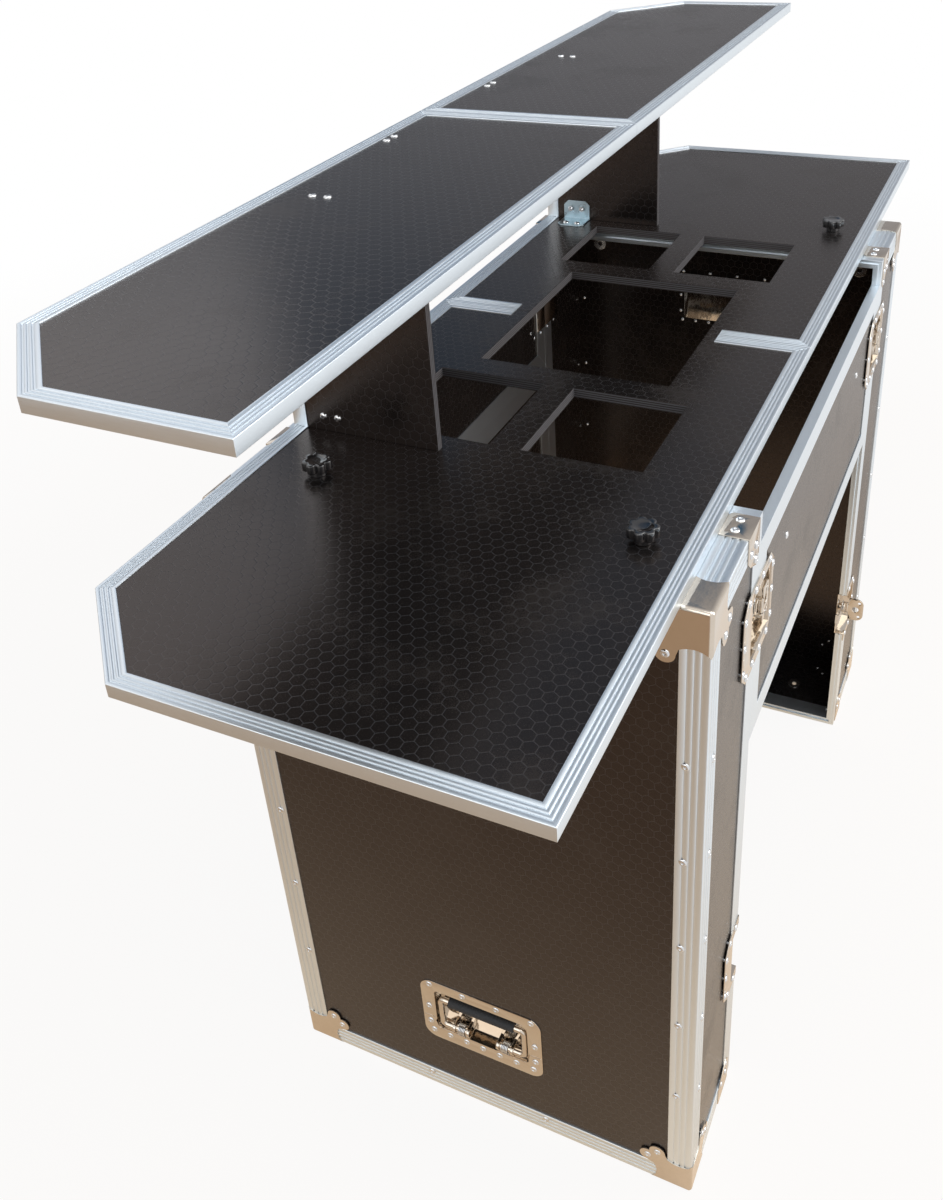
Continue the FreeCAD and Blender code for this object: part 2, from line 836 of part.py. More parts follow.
def latch_hook():
    """Hook plate: a ring round the cam post and a tongue over the rim to the lip."""
    low = -latch_tub_depth + hook_rise
    high = low + hook_thick
    ring = rod(hook_ring_radius, (cam_centre, 0, low), (cam_centre, 0, high))
    tongue = box((-hook_reach, -hook_half_width, low), (cam_centre, hook_half_width, high))
    tooth = box((-hook_reach, -hook_half_width, -latch_tub_depth + hook_clearance),
                (-hook_reach + hook_tooth, hook_half_width, high))
    bore = rod(cam_post_radius + running_gap, (cam_centre, 0, low), (cam_centre, 0, high))
    return join(ring, [tongue, tooth]).cut(bore)


def latch_cam():
    """Turning post with its disc and the two ears that hold the wing's pins."""
    floor = -latch_tub_depth + hook_clearance
    hook_top = -latch_tub_depth + hook_rise + hook_thick + hook_clearance
    disc_top = hook_top + cam_disc_thick
    post = rod(cam_post_radius, (cam_centre, 0, floor), (cam_centre, 0, hook_top))
    disc = rod(cam_disc_radius, (cam_centre, 0, hook_top), (cam_centre, 0, disc_top))
    ears = []
    for side in (1, -1):
        low_side, high_side = sorted((side * cam_ear_inner, side * cam_ear_outer))
        ears.append(box((cam_centre - cam_ear_half, low_side, hook_top),
                        (cam_centre + cam_ear_half, high_side, wing_axis)))
        ears.append(rod(cam_ear_half, (cam_centre, low_side, wing_axis),
                        (cam_centre, high_side, wing_axis)))
    cam = join(post, [disc] + ears)
    pin_hole = rod(wing_pin_radius + running_gap, (cam_centre, -cam_ear_outer, wing_axis),
                   (cam_centre, cam_ear_outer, wing_axis))
    barrel_room = rod(wing_barrel_radius + hook_clearance, (cam_centre, -cam_ear_inner, wing_axis),
                      (cam_centre, cam_ear_inner, wing_axis))
    bore = rod(cam_pin_radius + running_gap, (cam_centre, 0, floor),
               (cam_centre, 0, wing_axis - wing_barrel_radius - cam_pin_radius + hook_clearance))
    return cam.cut([pin_hole, barrel_room, bore])


def latch_wing():
    """Butterfly wing lying flat, hinged on two short pins."""
    low = wing_axis - wing_thick / 2
    high = wing_axis + wing_thick / 2
    tip = cam_centre + wing_reach
    root = cam_centre + wing_root
    plate = box((root, -wing_half, low), (tip, wing_half, high))
    corners = [edge for edge in plate.Edges
               if edge.Vertexes[0].X > root and edge.Vertexes[-1].X > root
               and abs(edge.Vertexes[0].Z - edge.Vertexes[-1].Z) > 0]
    plate = plate.makeFillet(wing_corner, corners)
    neck = box((cam_centre, -cam_ear_inner + hook_clearance, low),
               (root + wing_root, cam_ear_inner - hook_clearance, high))
    barrel = rod(wing_barrel_radius, (cam_centre, -cam_ear_inner + hook_clearance, wing_axis),
                 (cam_centre, cam_ear_inner - hook_clearance, wing_axis))
    pin = rod(wing_pin_radius, (cam_centre, -cam_ear_outer, wing_axis),
              (cam_centre, cam_ear_outer, wing_axis))
    wing = join(plate, [neck, barrel, pin])
    places = [(cam_centre + wing_hole_reach, 0, wing_hole_radius),
              (cam_centre + wing_small_reach, wing_small_half, wing_small_radius),
              (cam_centre + wing_small_reach, -wing_small_half, wing_small_radius)]
    holes = [rod(radius, (x, y, low), (x, y, high)) for x, y, radius in places]
    return wing.cut(holes)


def latch_rivet_spots(length):
    """Places of the rivets in one half plate, away from the rim."""
    row = latch_height / 2 - latch_row_inset
    column = length - latch_column_inset
    shoulder = length - latch_cut - latch_column_inset / 2
    return [(column, latch_mid_row), (column, 0), (column, -latch_mid_row),
            (shoulder, row), (shoulder, -row),
            (latch_rim_column, row), (latch_rim_column, -row)]


def on_side(shape, rim, height, side):
    """Latch piece put at a rim's plane, at a height, on the back or front side."""
    piece = placed(shape, Vector(rim, half_width, height), X_AXIS * -1, Z_AXIS)
    return piece if side > 0 else flipped(piece, Y_AXIS)


def side_rivet(rim, height, side, across, up, into_flange):
    """Note one rivet of a latch plate, through the channel or the bare wall."""
    grip = latch_plate + (case_stack if into_flange else wall_in)
    point = (rim - across, side * (half_width + latch_plate), height + up)
    add_rivet(point, Y_AXIS * side, grip)


# Boards, fins and their fittings


def board_outline(length, front, back):
    """Near half of a board: cut off at the customers' end corner."""
    end = length / 2
    start = joint_gap / 2
    return [(start, -front), (end - board_chamfer, -front), (end, -front + board_chamfer),
            (end, back), (start, back)]


def board_core(outline, low):
    """Film-faced plywood inside the edge channels."""
    inner = [inset_corner(outline, index, board_skin) for index in range(len(outline))]
    return prism(inner, low + board_skin, low + board_skin + board_ply)


def board_channels(outline, low):
    """All mitred lengths of edge channel round an outline."""
    return [edge_profile(outline, index, low, low + board_thick, board_skin, board_skin,
                         board_flange, board_groove_places) for index in range(len(outline))]


def worktop(inset):
    """Board and channels of one worktop half, with its cut-outs and knob holes."""
    outline = board_outline(worktop_length, worktop_front, worktop_back)
    board = board_core(outline, leg_top)
    start = joint_gap / 2
    bare = box((start, -joint_strip_front, leg_top + board_skin),
               (start + board_flange, joint_strip_back, work_height - board_skin))
    board = join(board, [bare])
    channels = board_channels(outline, leg_top)
    joint = channels.pop()
    strips = [joint.common(box((0, joint_strip_back, leg_top),
                               (board_flange, worktop_back, work_height))),
              joint.common(box((0, -worktop_front, leg_top),
                               (board_flange, -joint_strip_front, work_height)))]
    cuts = [box((0, -well_front, leg_top), (well_half_length, well_back, work_height)),
            box((bay_inner, -front_bay_front, leg_top), (bay_outer, -front_bay_back, work_height)),
            box((bay_inner, back_bay_front, leg_top), (bay_outer, back_bay_back, work_height))]
    for reach in (-knob_front, knob_back):
        cuts.append(rod(stud_radius + stud_hole_gap, (rim_x + inset, reach, leg_top),
                        (rim_x + inset, reach, work_height)))
    return board.cut(cuts), channels + strips


def counter():
    """Board and channels of one half of the raised counter."""
    outline = board_outline(counter_length, counter_front, counter_back)
    return board_core(outline, counter_under), board_channels(outline, counter_under)


def fin():
    """Upright board between worktop and counter, with its one edge channel."""
    low = work_height
    high = counter_under
    outline = [(-worktop_front, low), (-fin_back, low), (-fin_back, high), (-worktop_front, high)]
    channel = join(box((-worktop_front, low, -board_skin),
                       (-worktop_front + board_skin, high, fin_ply + board_skin)),
                   [box((-worktop_front, low, -board_skin),
                        (-worktop_front + board_flange, high, 0)),
                    box((-worktop_front, low, fin_ply),
                        (-worktop_front + board_flange, high, fin_ply + board_skin))])
    board = prism(outline, 0, fin_ply)
    board = board.cut(box((-worktop_front, low, 0), (-worktop_front + board_skin, high, fin_ply)))
    foot = box((-worktop_front + board_flange, low - board_skin, 0), (-fin_back, low, fin_ply))
    head = box((-counter_front + board_flange, high, 0), (-fin_back, high + board_skin, fin_ply))
    board = join(board, [foot, head])
    place = Vector(fin_face - fin_ply, 0, 0)
    return placed(board, place, Y_AXIS, Z_AXIS), placed(channel, place, Y_AXIS, Z_AXIS)


def bracket():
    """Angle bracket at the foot of a fin, on its inner face."""
    inner_face = fin_face - fin_ply
    low = work_height - board_skin
    half = bracket_half
    cut = bracket_cut

    def leaf(reach):
        return [(-half, 0), (half, 0), (half, reach - cut), (half - cut, reach),
                (-half + cut, reach), (-half, reach - cut)]

    upright = placed(prism(leaf(bracket_leaf), 0, bracket_thick),
                     Vector(inner_face - bracket_thick, -bracket_centre, low), Y_AXIS, Z_AXIS)
    base = placed(prism(leaf(bracket_base), 0, bracket_thick),
                  Vector(inner_face, -bracket_centre, low), Y_AXIS, X_AXIS * -1)
    return join(upright, [base])


def bolt_and_nut(grip):
    """Bolt with its head on the plane z = 0, and a hexagon nut under the grip."""
    head = Part.makeCylinder(bolt_head_radius, bolt_head_height)
    rim = [edge for edge in head.Edges if edge.Closed and edge.CenterOfMass.z > 0]
    head = head.makeFillet(bolt_head_height * bolt_dome_share, rim)
    end = -grip - bolt_nut_height - bolt_end
    bolt = head.fuse(rod(bolt_radius, (0, 0, end), (0, 0, 0))).removeSplitter()
    corners = [(bolt_nut_radius * math.cos(step * math.pi / 3),
                bolt_nut_radius * math.sin(step * math.pi / 3)) for step in range(6)]
    nut = prism(corners, -grip - bolt_nut_height, -grip)
    nut = nut.cut(rod(bolt_radius + running_gap, (0, 0, -grip - bolt_nut_height), (0, 0, -grip)))
    return [bolt, nut]


def top_bolts(end):
    """Bolts of one half: places of their heads, outward normals and grips."""
    inner_face = fin_face - fin_ply
    film = work_height - board_skin
    counter_film = counter_height - board_skin
    base_x = inner_face - bolt_run
    bolts = []
    for offset in (-bolt_half_pitch, bolt_half_pitch):
        y = -bracket_centre + offset
        bolts.append(((base_x, y, film + bracket_thick), Z_AXIS, board_ply + bracket_thick))
        bolts.append(((base_x, y, counter_film), Z_AXIS, board_ply + bracket_thick))
        for z in (film + bolt_rise, counter_under + board_skin - bolt_rise):
            bolts.append(((fin_face, y, z), X_AXIS, fin_ply + bracket_thick))
        x = edge_pairs[end] + offset
        bolts.append(((x, -counter_front + edge_pair_inset, counter_film), Z_AXIS, board_ply))
    return bolts


def bolted(shape, bolts):
    """Shape with a clearance hole for each bolt that passes through it."""
    holes = []
    for point, normal, grip in bolts:
        reach = grip + bolt_nut_height
        hole = Part.makeCylinder(bolt_radius + bolt_hole_gap, reach, Vector(*point), normal * -1)
        if shape.BoundBox.intersect(hole.BoundBox):
            holes.append(hole)
    return shape.cut(holes) if holes else shape


def bolt_group(bolts):
    """Bolts and nuts of one half as separate solids."""
    solids = []
    for point, normal, grip in bolts:
        across = Y_AXIS
        up = normal.cross(across)
        for piece in bolt_and_nut(grip):
            solids.append(placed(piece, Vector(*point), across, up))
    return solids


def knob():
    """Star knob on a hub, with its stud below the plane z = 0."""
    core = Part.makeCylinder(knob_core_radius, knob_height - knob_hub_height,
                             Vector(0, 0, knob_hub_height))
    lobes = []
    for step in range(knob_lobe_count):
        angle = 2 * math.pi * step / knob_lobe_count
        place = Vector(knob_lobe_centre * math.cos(angle), knob_lobe_centre * math.sin(angle),
                       knob_hub_height)
        lobes.append(Part.makeCylinder(knob_lobe_radius, knob_height - knob_hub_height, place))
    hub = Part.makeCylinder(knob_hub_radius, knob_hub_height)
    stud_length = board_ply + board_skin + cap_thick + wall_in + nut_flange_thick
    stud = rod(stud_radius, (0, 0, -stud_length), (0, 0, 0))
    return join(core, lobes + [hub, stud])


# Assembly

nodes = {}


def build_legs():
    """Both half cases with their hardware."""
    note_leg_rivets()
    nuts, nut_holes = leg_nuts()
    tub = rounded_plate(tub_length + 2 * handle_sheet + 2 * fit_gap,
                        tub_height + 2 * handle_sheet + 2 * fit_gap,
                        tub_radius + handle_sheet + fit_gap, -wall_ply, 0)
    dishes = []
    springs = []
    tub_holes = []
    for side in (1, -1):
        for height in handle_heights.values():
            dishes.append(on_end(handle_dish(), height, side))
            springs += [on_end(spring, height, side) for spring in handle_springs()]
            tub_holes.append(on_end(moved(tub, 0, tub_rise), height, side))
            for across, up in handle_rivet_spots():
                point = (side * (leg_end - wall_out + handle_plate), across, height + up)
                add_rivet(point, X_AXIS * side, handle_plate + wall_ply)
    latches = build_latches()
    holes = nut_holes + tub_holes + latches["holes"]

    def finished(shape):
        tools = [hole for hole in holes if shape.BoundBox.intersect(hole.BoundBox)]
        cut = shape.cut(tools) if tools else shape
        return drilled(cut, rivet_places)

    walls = {"end_wall": [end_wall()], "side_walls": side_walls(),
             "top_and_bottom_walls": top_and_bottom_walls()}
    for name, shapes in walls.items():
        nodes["near_" + name] = [finished(shape) for shape in shapes]
        nodes["far_" + name] = [finished(flipped(shape, X_AXIS)) for shape in shapes]
    nodes["rim_profiles"] = [finished(shape) for shape in both_legs(rim_lengths())]
    nodes["edge_angles"] = [finished(shape) for shape in both_legs(edge_angles())]
    nodes["corner_caps"] = [finished(shape) for shape in both_legs(four_ways(corner_cap()))]
    nodes["corner_braces"] = [finished(shape) for shape in both_legs(four_ways(rim_brace()))]
    nodes["t_nuts"] = nuts
    nodes["handle_dishes"] = [drilled(shape, rivet_places) for shape in dishes]
    nodes["handle_springs"] = springs
    for name in ("latch_dishes", "latch_strikes"):
        nodes[name] = [drilled(shape, rivet_places) for shape in latches[name]]
    nodes["latch_hooks"] = latches["latch_hooks"]
    build_panels(finished)
    for side, end in ((1, "near"), (-1, "far")):
        for level, height in handle_heights.items():
            nodes[f"{end}_{level}_handle_bail"] = [on_end(handle_bail(), height, side)]
            nodes[f"{end}_{level}_handle_grip"] = [on_end(handle_grip(), height, side)]


def build_latches():
    """Latch halves, hooks, cams and wings, and the room that they need in the walls."""
    group = {"latch_dishes": [], "latch_strikes": [], "latch_hooks": [], "holes": []}
    room = latch_sheet + fit_gap
    for end, rim in (("near", rim_x), ("far", -rim_x)):
        for side_name, side in (("back", 1), ("front", -1)):
            for level, height in latch_heights.items():
                name = f"{end}_{side_name}_{level}"
                is_single = side_name == "back" and level == "lower"
                has_wing = not (is_single and end == "near")
                has_strike = not (is_single and end == "far")
                if has_wing:
                    add_wing_half(group, name, rim, height, side, is_single)
                if has_strike:
                    add_strike_half(group, rim, height, side)
                strike_room = strike_tub_length + room if has_strike else ridge_height + fit_gap
                wing_room = wing_tub_length + room if has_wing else ridge_height + fit_gap
                hole = box((-strike_room, -latch_tub_half - room, -case_stack),
                           (wing_room, latch_tub_half + room, 0))
                group["holes"].append(on_side(hole, rim, height, side))
    return group


def add_wing_half(group, name, rim, height, side, is_open):
    """Wing half of one latch, with its hook, cam and wing, and its rivets."""
    group["latch_dishes"].append(on_side(wing_dish(), rim, height, side))
    group["latch_hooks"].append(on_side(latch_hook(), rim, height, side))
    nodes[name + "_latch_cam"] = [on_side(latch_cam(), rim, height, side)]
    wing = latch_wing()
    if is_open:
        wing.rotate(Vector(cam_centre, 0, wing_axis), Y_AXIS, -90)
    nodes[name + "_latch_wing"] = [on_side(wing, rim, height, side)]
    for across, up in latch_rivet_spots(wing_side_length):
        side_rivet(rim, height, side, across, up, across < case_flange)


def add_strike_half(group, rim, height, side):
    """Strike half of one latch and its rivets."""
    group["latch_strikes"].append(on_side(strike_dish(), rim, height, side))
    for across, up in latch_rivet_spots(strike_side_length):
        side_rivet(rim, height, side, -across, up, across < case_flange)


def build_panels(finished):
    """Back panel and the three front panels."""
    edging = []
    for reach in (-panel_rivet_reach, panel_rivet_reach):
        add_rivet((reach, half_width - wall_out, leg_top - panel_rivet_drop), Y_AXIS, wall_ply)
    board, channels = panel(back_panel_low, back_panel_top)
    nodes["back_panel"] = [finished(board)]
    edging += channels
    levels = {"bottom": (case_low, front_split),
              "middle": (front_split, case_high - front_top_height),
              "top": (case_high - front_top_height, case_high)}
    for name, (low, high) in levels.items():
        board, channels = panel(low, high)
        nodes[f"front_{name}_panel"] = [finished(flipped(board, Y_AXIS))]
        edging += [flipped(channel, Y_AXIS) for channel in channels]
    nodes["panel_edging"] = [finished(channel) for channel in edging]


def build_tops():
    """Both halves of the worktop and counter with fins, brackets, bolts and knobs."""
    middle = Vector(0, 0, (work_height - board_skin + counter_under + board_skin) / 2)
    for end, side in (("near", 1), ("far", -1)):
        bolts = top_bolts(end)
        board, worktop_edges = worktop(knob_insets[end])
        upper, counter_edges = counter()
        upright, fin_edge = fin()
        brackets = [bracket(), flipped(bracket(), Z_AXIS, middle)]
        pieces = {"worktop": [bolted(board, bolts)],
                  "counter": [bolted(upper, bolts)],
                  "fin": [bolted(upright, bolts)],
                  "edging": worktop_edges + counter_edges + [fin_edge],
                  "brackets": [bolted(shape, bolts) for shape in brackets],
                  "bolts": bolt_group(bolts)}
        for name, shapes in pieces.items():
            if side < 0:
                shapes = [flipped(shape, X_AXIS) for shape in shapes]
            nodes[f"{end}_{name}"] = shapes
        for reach, place in (("front", -knob_front), ("back", knob_back)):
            shape = moved(knob(), side * (rim_x + knob_insets[end]), place,
                          work_height - board_skin)
            nodes[f"{end}_{reach}_knob"] = [shape]


def main():
    """Build every node and write it to its own file."""
    build_legs()
    build_tops()
    nodes["rivets"] = rivet_group(rivet_places)
    os.makedirs("parts", exist_ok=True)
    for name, shapes in sorted(nodes.items()):
        whole = Part.makeCompound(shapes) if len(shapes) > 1 else shapes[0]
        moved(whole, 0, -frame_shift).exportStep(f"parts/{name}.step")
        print(name, len(whole.Solids), "solids, valid" if whole.isValid() else "solids, NOT VALID")
    print("frame shift", round(frame_shift, 3), "nodes", len(nodes))


main()
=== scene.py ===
"""Looks of the portable bar: film-faced plywood, grooved aluminium, plated hardware.

Metres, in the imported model's frame. X runs along the bar, +Y is the bartender's side.
"""
import json
import math

import bmesh
import bpy
from mathutils import Matrix, Vector


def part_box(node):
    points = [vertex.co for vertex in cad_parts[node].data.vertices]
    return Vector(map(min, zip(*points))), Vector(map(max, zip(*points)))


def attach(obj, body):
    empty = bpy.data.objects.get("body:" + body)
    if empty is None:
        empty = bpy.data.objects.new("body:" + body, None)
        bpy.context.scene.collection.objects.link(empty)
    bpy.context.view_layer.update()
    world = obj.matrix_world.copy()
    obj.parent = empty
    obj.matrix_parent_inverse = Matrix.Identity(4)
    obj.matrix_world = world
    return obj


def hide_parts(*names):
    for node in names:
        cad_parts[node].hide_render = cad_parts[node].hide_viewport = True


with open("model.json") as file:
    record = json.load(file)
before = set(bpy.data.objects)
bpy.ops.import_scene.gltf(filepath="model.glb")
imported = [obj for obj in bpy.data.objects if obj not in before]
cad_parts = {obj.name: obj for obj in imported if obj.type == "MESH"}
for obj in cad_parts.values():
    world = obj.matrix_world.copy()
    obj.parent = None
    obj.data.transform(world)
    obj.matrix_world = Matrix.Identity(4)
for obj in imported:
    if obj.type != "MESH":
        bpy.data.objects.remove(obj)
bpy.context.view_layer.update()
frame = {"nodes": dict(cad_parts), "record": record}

nodes = frame["nodes"]
body_of = {node: body for body, names in frame["record"]["behaviour"]["bodies"].items()
           for node in names}
MM = 0.001

# Camera, fitted to the photograph
camera_place = Vector((1.31506, 0.46731, 1.52386))
camera_yaw = math.radians(207.02)
camera_pitch = math.radians(-28.91)
camera_roll = math.radians(-3.81)
camera_lens = 35.34
camera_shift = (-0.0186, -0.1431)

# Lamps: name, place, target, size, power and colour
lamps = (("window", (-0.8, 3.6, 2.7), (0, 0, 0.6), 3.2, 112, (1.0, 0.995, 0.99)),
         ("overhead", (0.7, 1.1, 3.3), (0.2, 0, 0.9), 2.4, 36, (0.88, 0.955, 1.0)),
         ("glow", (-0.75, -2.1, 2.9), (0.75, -0.1, 0.9), 1.7, 9, (1.0, 0.97, 0.94)),
         ("end", (3.4, -0.8, 2.0), (0.5, 0, 0.5), 2.2, 18, (1.0, 0.985, 0.97)))

# Floor and surroundings
white = (1, 1, 1, 1)
floor_reach = 12.0
floor_tones = ((0.70, 0.52, 0.36, 1), (0.77, 0.58, 0.42, 1))
floor_fade = (1.5, 3.5)
# Painted light on the floor, seen only in mirrors: a painted pool of window light on the
# bartender's side, lit tan near the legs and painted shade past the bar's ends
window_pool_side = (0.15, 0.65)
mirror_light_to_shade_along = (0.6, 1.05)
floor_white = 0.92
floor_shine = 0.5
mirrored_floor_lit_tone = (1.0, 0.80, 0.58, 1)
mirrored_floor_shade_tone = (0.28, 0.18, 0.11, 1)
world_level = 0.42
dark_side = Vector((-0.84, -0.50, 0.18)).normalized()
dark_patch = Vector((-0.671, -0.470, 0.574)).normalized()
dim_tone = (0.40, 0.40, 0.42, 1)
dark_tone = (0.04, 0.125, 0.24, 1)

# Places on the bar
middle_shift = -11.85
leg_rim = 347 * MM
cap_angle_gap = 31 * MM
strip_front = (middle_shift - 145.5) * MM
strip_back = (middle_shift + 130.0) * MM
fin_front = (middle_shift - 252.0) * MM
fin_ply = 9.5 * MM
worktop_top = 900 * MM
counter_under = 1143.6 * MM

# Film and plies, in millimetres
hex_pitch = 12.7
ply_layer = 1.4
film_tones = ((0.0070, 0.0061, 0.0060, 1), (0.0098, 0.0085, 0.0083, 1))
film_line = (0.034, 0.035, 0.038, 1)
film_smudge = (0.10, 0.085, 0.07, 1)
film_tint = (1.0, 0.78, 0.68, 1)
ply_tones = ((0.014, 0.014, 0.016, 1), (0.150, 0.158, 0.175, 1))
ply_grain = (0.035, 0.030, 0.027, 1)

# Shapes of the extruded profiles
skin = 1.2 * MM
angle_skin = 1.6 * MM
flange = 18 * MM
angle_leaf = 30 * MM
board_thick = 14.4 * MM
groove_width = 1.7 * MM
groove_depth = 0.75 * MM
board_grooves = (4.5 * MM, 8.5 * MM, 12.5 * MM)
angle_grooves = (8 * MM, 15 * MM, 22 * MM)
outer_round = 0.7 * MM
angle_round = 1.2 * MM
lip_round = 0.35 * MM
joint_gap = 0.15 * MM
chamfer = 100 * MM

# Soft edges of the CAD solids
board_edge = 0.5 * MM
profile_edge = 0.3 * MM
brace_edge = 0.45 * MM
latch_edge = 0.4 * MM
bracket_edge = 0.4 * MM
small_edge = 0.3 * MM
cap_round = 4.5 * MM

# Handles: dishes with their creases, and grips
dish_edge = 0.45 * MM
dish_proud = 1.6 * MM
crease_drop = 15.3 * MM
crease_in = 65.5 * MM
crease_out = 81.5 * MM
crease_rise = 0.7 * MM
crease_width = 2.4 * MM
grip_bore = 4.0 * MM
grip_rings = 26
grip_margin = 3.0 * MM
grip_dip = 0.18 * MM
grip_end = ((1.2, 0), (0.35, 0.35), (0, 1.4))

# Rivets, with their profiles as (radius, height) in millimetres
rivet_head = 4.6 * MM
rivet_shank = 1.9 * MM
rivet_tail = 2.4 * MM
rivet_bulb = ((1.52, -2.3), (2.9, -0.9), (2.6, 0))
rivet_dome = ((4.55, 0.22), (4.05, 0.75), (3.2, 1.22), (2.2, 1.48), (1.6, 1.42),
              (1.3, 1.1), (1.15, 0.5), (0.6, 0.62), (0, 0.66))

# Bolts and nuts
bolt_head = 4.6 * MM
bolt_rise = 2.4 * MM
bolt_shank = 2.45 * MM
bolt_pitch = 0.8 * MM
bolt_socket = 2.0 * MM
bolt_dome_shares = ((1.0, 0.0), (1.0, 0.16), (0.95, 0.42), (0.82, 0.70), (0.62, 0.90), (0.42, 1.0))
nut_bore = 2.6 * MM

# Knobs, with their rings as (inset or radius, height) in millimetres
knob_core = 12.2 * MM
knob_lobe = 4.5 * MM
knob_lobe_centre = 11.5 * MM
knob_lobes = 7
knob_blend = 18
knob_height = 17.5 * MM
knob_stud = 4.0 * MM
knob_pitch = 1.25 * MM
knob_hub_rings = ((8.5, 0), (9.0, 0.5), (8.73, 5.8))
knob_star_rings = ((2.0, 6.5), (0.7, 6.8), (0.2, 7.3), (0.0, 8.0), (0.0, 16.0), (0.2, 16.7),
                   (0.7, 17.2), (1.5, 17.45), (2.6, 17.5))
knob_dish_rings = ((9.4, 17.4), (8.6, 17.0), (4.0, 16.6))
knob_dish_floor = 16.55 * MM


# Camera, floor and light


def make_camera():
    """Camera at the photograph's place and angle."""
    data = bpy.data.cameras.new("camera")
    camera = bpy.data.objects.new("camera", data)
    bpy.context.scene.collection.objects.link(camera)
    forward = Vector((math.cos(camera_pitch) * math.cos(camera_yaw),
                      math.cos(camera_pitch) * math.sin(camera_yaw), math.sin(camera_pitch)))
    right = forward.cross(Vector((0, 0, 1))).normalized()
    up = right.cross(forward)
    turn_cos, turn_sin = math.cos(camera_roll), math.sin(camera_roll)
    across = right * turn_cos + up * turn_sin
    upward = up * turn_cos - right * turn_sin
    matrix = Matrix((across, upward, -forward)).transposed().to_4x4()
    matrix.translation = camera_place
    camera.matrix_world = matrix
    data.lens = camera_lens
    data.shift_x, data.shift_y = camera_shift
    data.clip_start = 0.01
    bpy.context.scene.camera = camera


def area_light(name, place, target, size, power, color):
    """Square area light that faces a point."""
    data = bpy.data.lights.new(name, "AREA")
    data.size = size
    data.energy = power
    data.color = color
    light = bpy.data.objects.new(name, data)
    light.location = place
    light.rotation_euler = (Vector(target) - Vector(place)).to_track_quat("-Z", "Y").to_euler()
    bpy.context.scene.collection.objects.link(light)


def make_floor():
    """Large floor, white to the camera with its shadow.

    Where it is mirrored it glows with painted light: tan under the bar, painted shade past its
    ends and a painted pool of window light on the bartender's side.
    """
    mesh = bpy.data.meshes.new("floor")
    mesh.from_pydata([(-floor_reach, -floor_reach, 0), (floor_reach, -floor_reach, 0),
                      (floor_reach, floor_reach, 0), (-floor_reach, floor_reach, 0)],
                     [], [(0, 1, 2, 3)])
    floor = bpy.data.objects.new("floor", mesh)
    bpy.context.scene.collection.objects.link(floor)
    material, node_tree, shader = new_material("floor")
    tree = Tree(node_tree)
    place, _ = object_place(tree)
    cloud = tree.noise(place, 0.0006, 3.0)
    tree.link(tree.mix(cloud, *floor_tones), shader.inputs["Base Color"])
    shader.inputs["Roughness"].default_value = 0.75
    shader.inputs["Specular IOR Level"].default_value = 0.2
    path = tree.node("ShaderNodeLightPath")
    seen = tree.math("MAXIMUM", path.outputs["Is Camera Ray"], path.outputs["Is Transmission Ray"])
    spot = tree.node("ShaderNodeNewGeometry")
    along, side, _ = tree.split(spot.outputs["Position"])
    away = tree.vector("LENGTH", spot.outputs["Position"])
    shown = tree.ramp(away, *floor_fade, floor_white, 1.0)
    # Painted reflection: in mirrors the floor glows with a painted pool of window light on the
    # bartender's side, lit tan near the legs and painted shade past the bar's ends
    shine = tree.ramp(side, *window_pool_side, floor_shine, floor_white)
    tone = tree.mix(tree.ramp(tree.math("ABSOLUTE", along), *mirror_light_to_shade_along), mirrored_floor_lit_tone, mirrored_floor_shade_tone)
    tone = tree.mix(tree.ramp(side, *window_pool_side), tone, white)
    tone = tree.mix(seen, tone, white)
    share = tree.math("ADD", tree.math("MULTIPLY", seen, shown),
                      tree.math("MULTIPLY", path.outputs["Is Glossy Ray"], shine))
    glow = tree.node("ShaderNodeEmission")
    tree.link(tone, glow.inputs["Color"])
    glow.inputs["Strength"].default_value = 1.0
    blend = tree.node("ShaderNodeMixShader")
    tree.link(share, blend.inputs[0])
    tree.link(shader.outputs[0], blend.inputs[1])
    tree.link(glow.outputs[0], blend.inputs[2])
    output = node_tree.nodes["Material Output"]
    tree.link(blend.outputs[0], output.inputs["Surface"])
    mesh.materials.append(material)


def make_world():
    """Soft surroundings, white to the camera; mirrored, dimmer on one side, with a dark patch."""
    world = bpy.data.worlds.new("world")
    bpy.context.scene.world = world
    world.use_nodes = True
    tree = Tree(world.node_tree)
    background = world.node_tree.nodes["Background"]
    path = tree.node("ShaderNodeLightPath")
    toward = tree.node("ShaderNodeTexCoord")
    dark = tree.vector("DOT_PRODUCT", toward.outputs["Generated"], tuple(dark_side))
    shine = tree.mix(tree.ramp(dark, 0.15, 0.85), white, dim_tone)
    patch = tree.vector("DOT_PRODUCT", toward.outputs["Generated"], tuple(dark_patch))
    shine = tree.mix(tree.ramp(patch, 0.94, 0.99), shine, dark_tone)
    spread = (world_level, world_level, world_level * 1.02, 1)
    seen = tree.math("MAXIMUM", path.outputs["Is Camera Ray"], path.outputs["Is Transmission Ray"])
    color = tree.mix(path.outputs["Is Glossy Ray"], spread, shine)
    color = tree.mix(seen, color, white)
    tree.link(color, background.inputs["Color"])
    background.inputs["Strength"].default_value = 1.0


# Materials


def new_material(name):
    """Material with its node tree and its shader."""
    material = bpy.data.materials.new(name)
    material.use_nodes = True
    return material, material.node_tree, material.node_tree.nodes["Principled BSDF"]


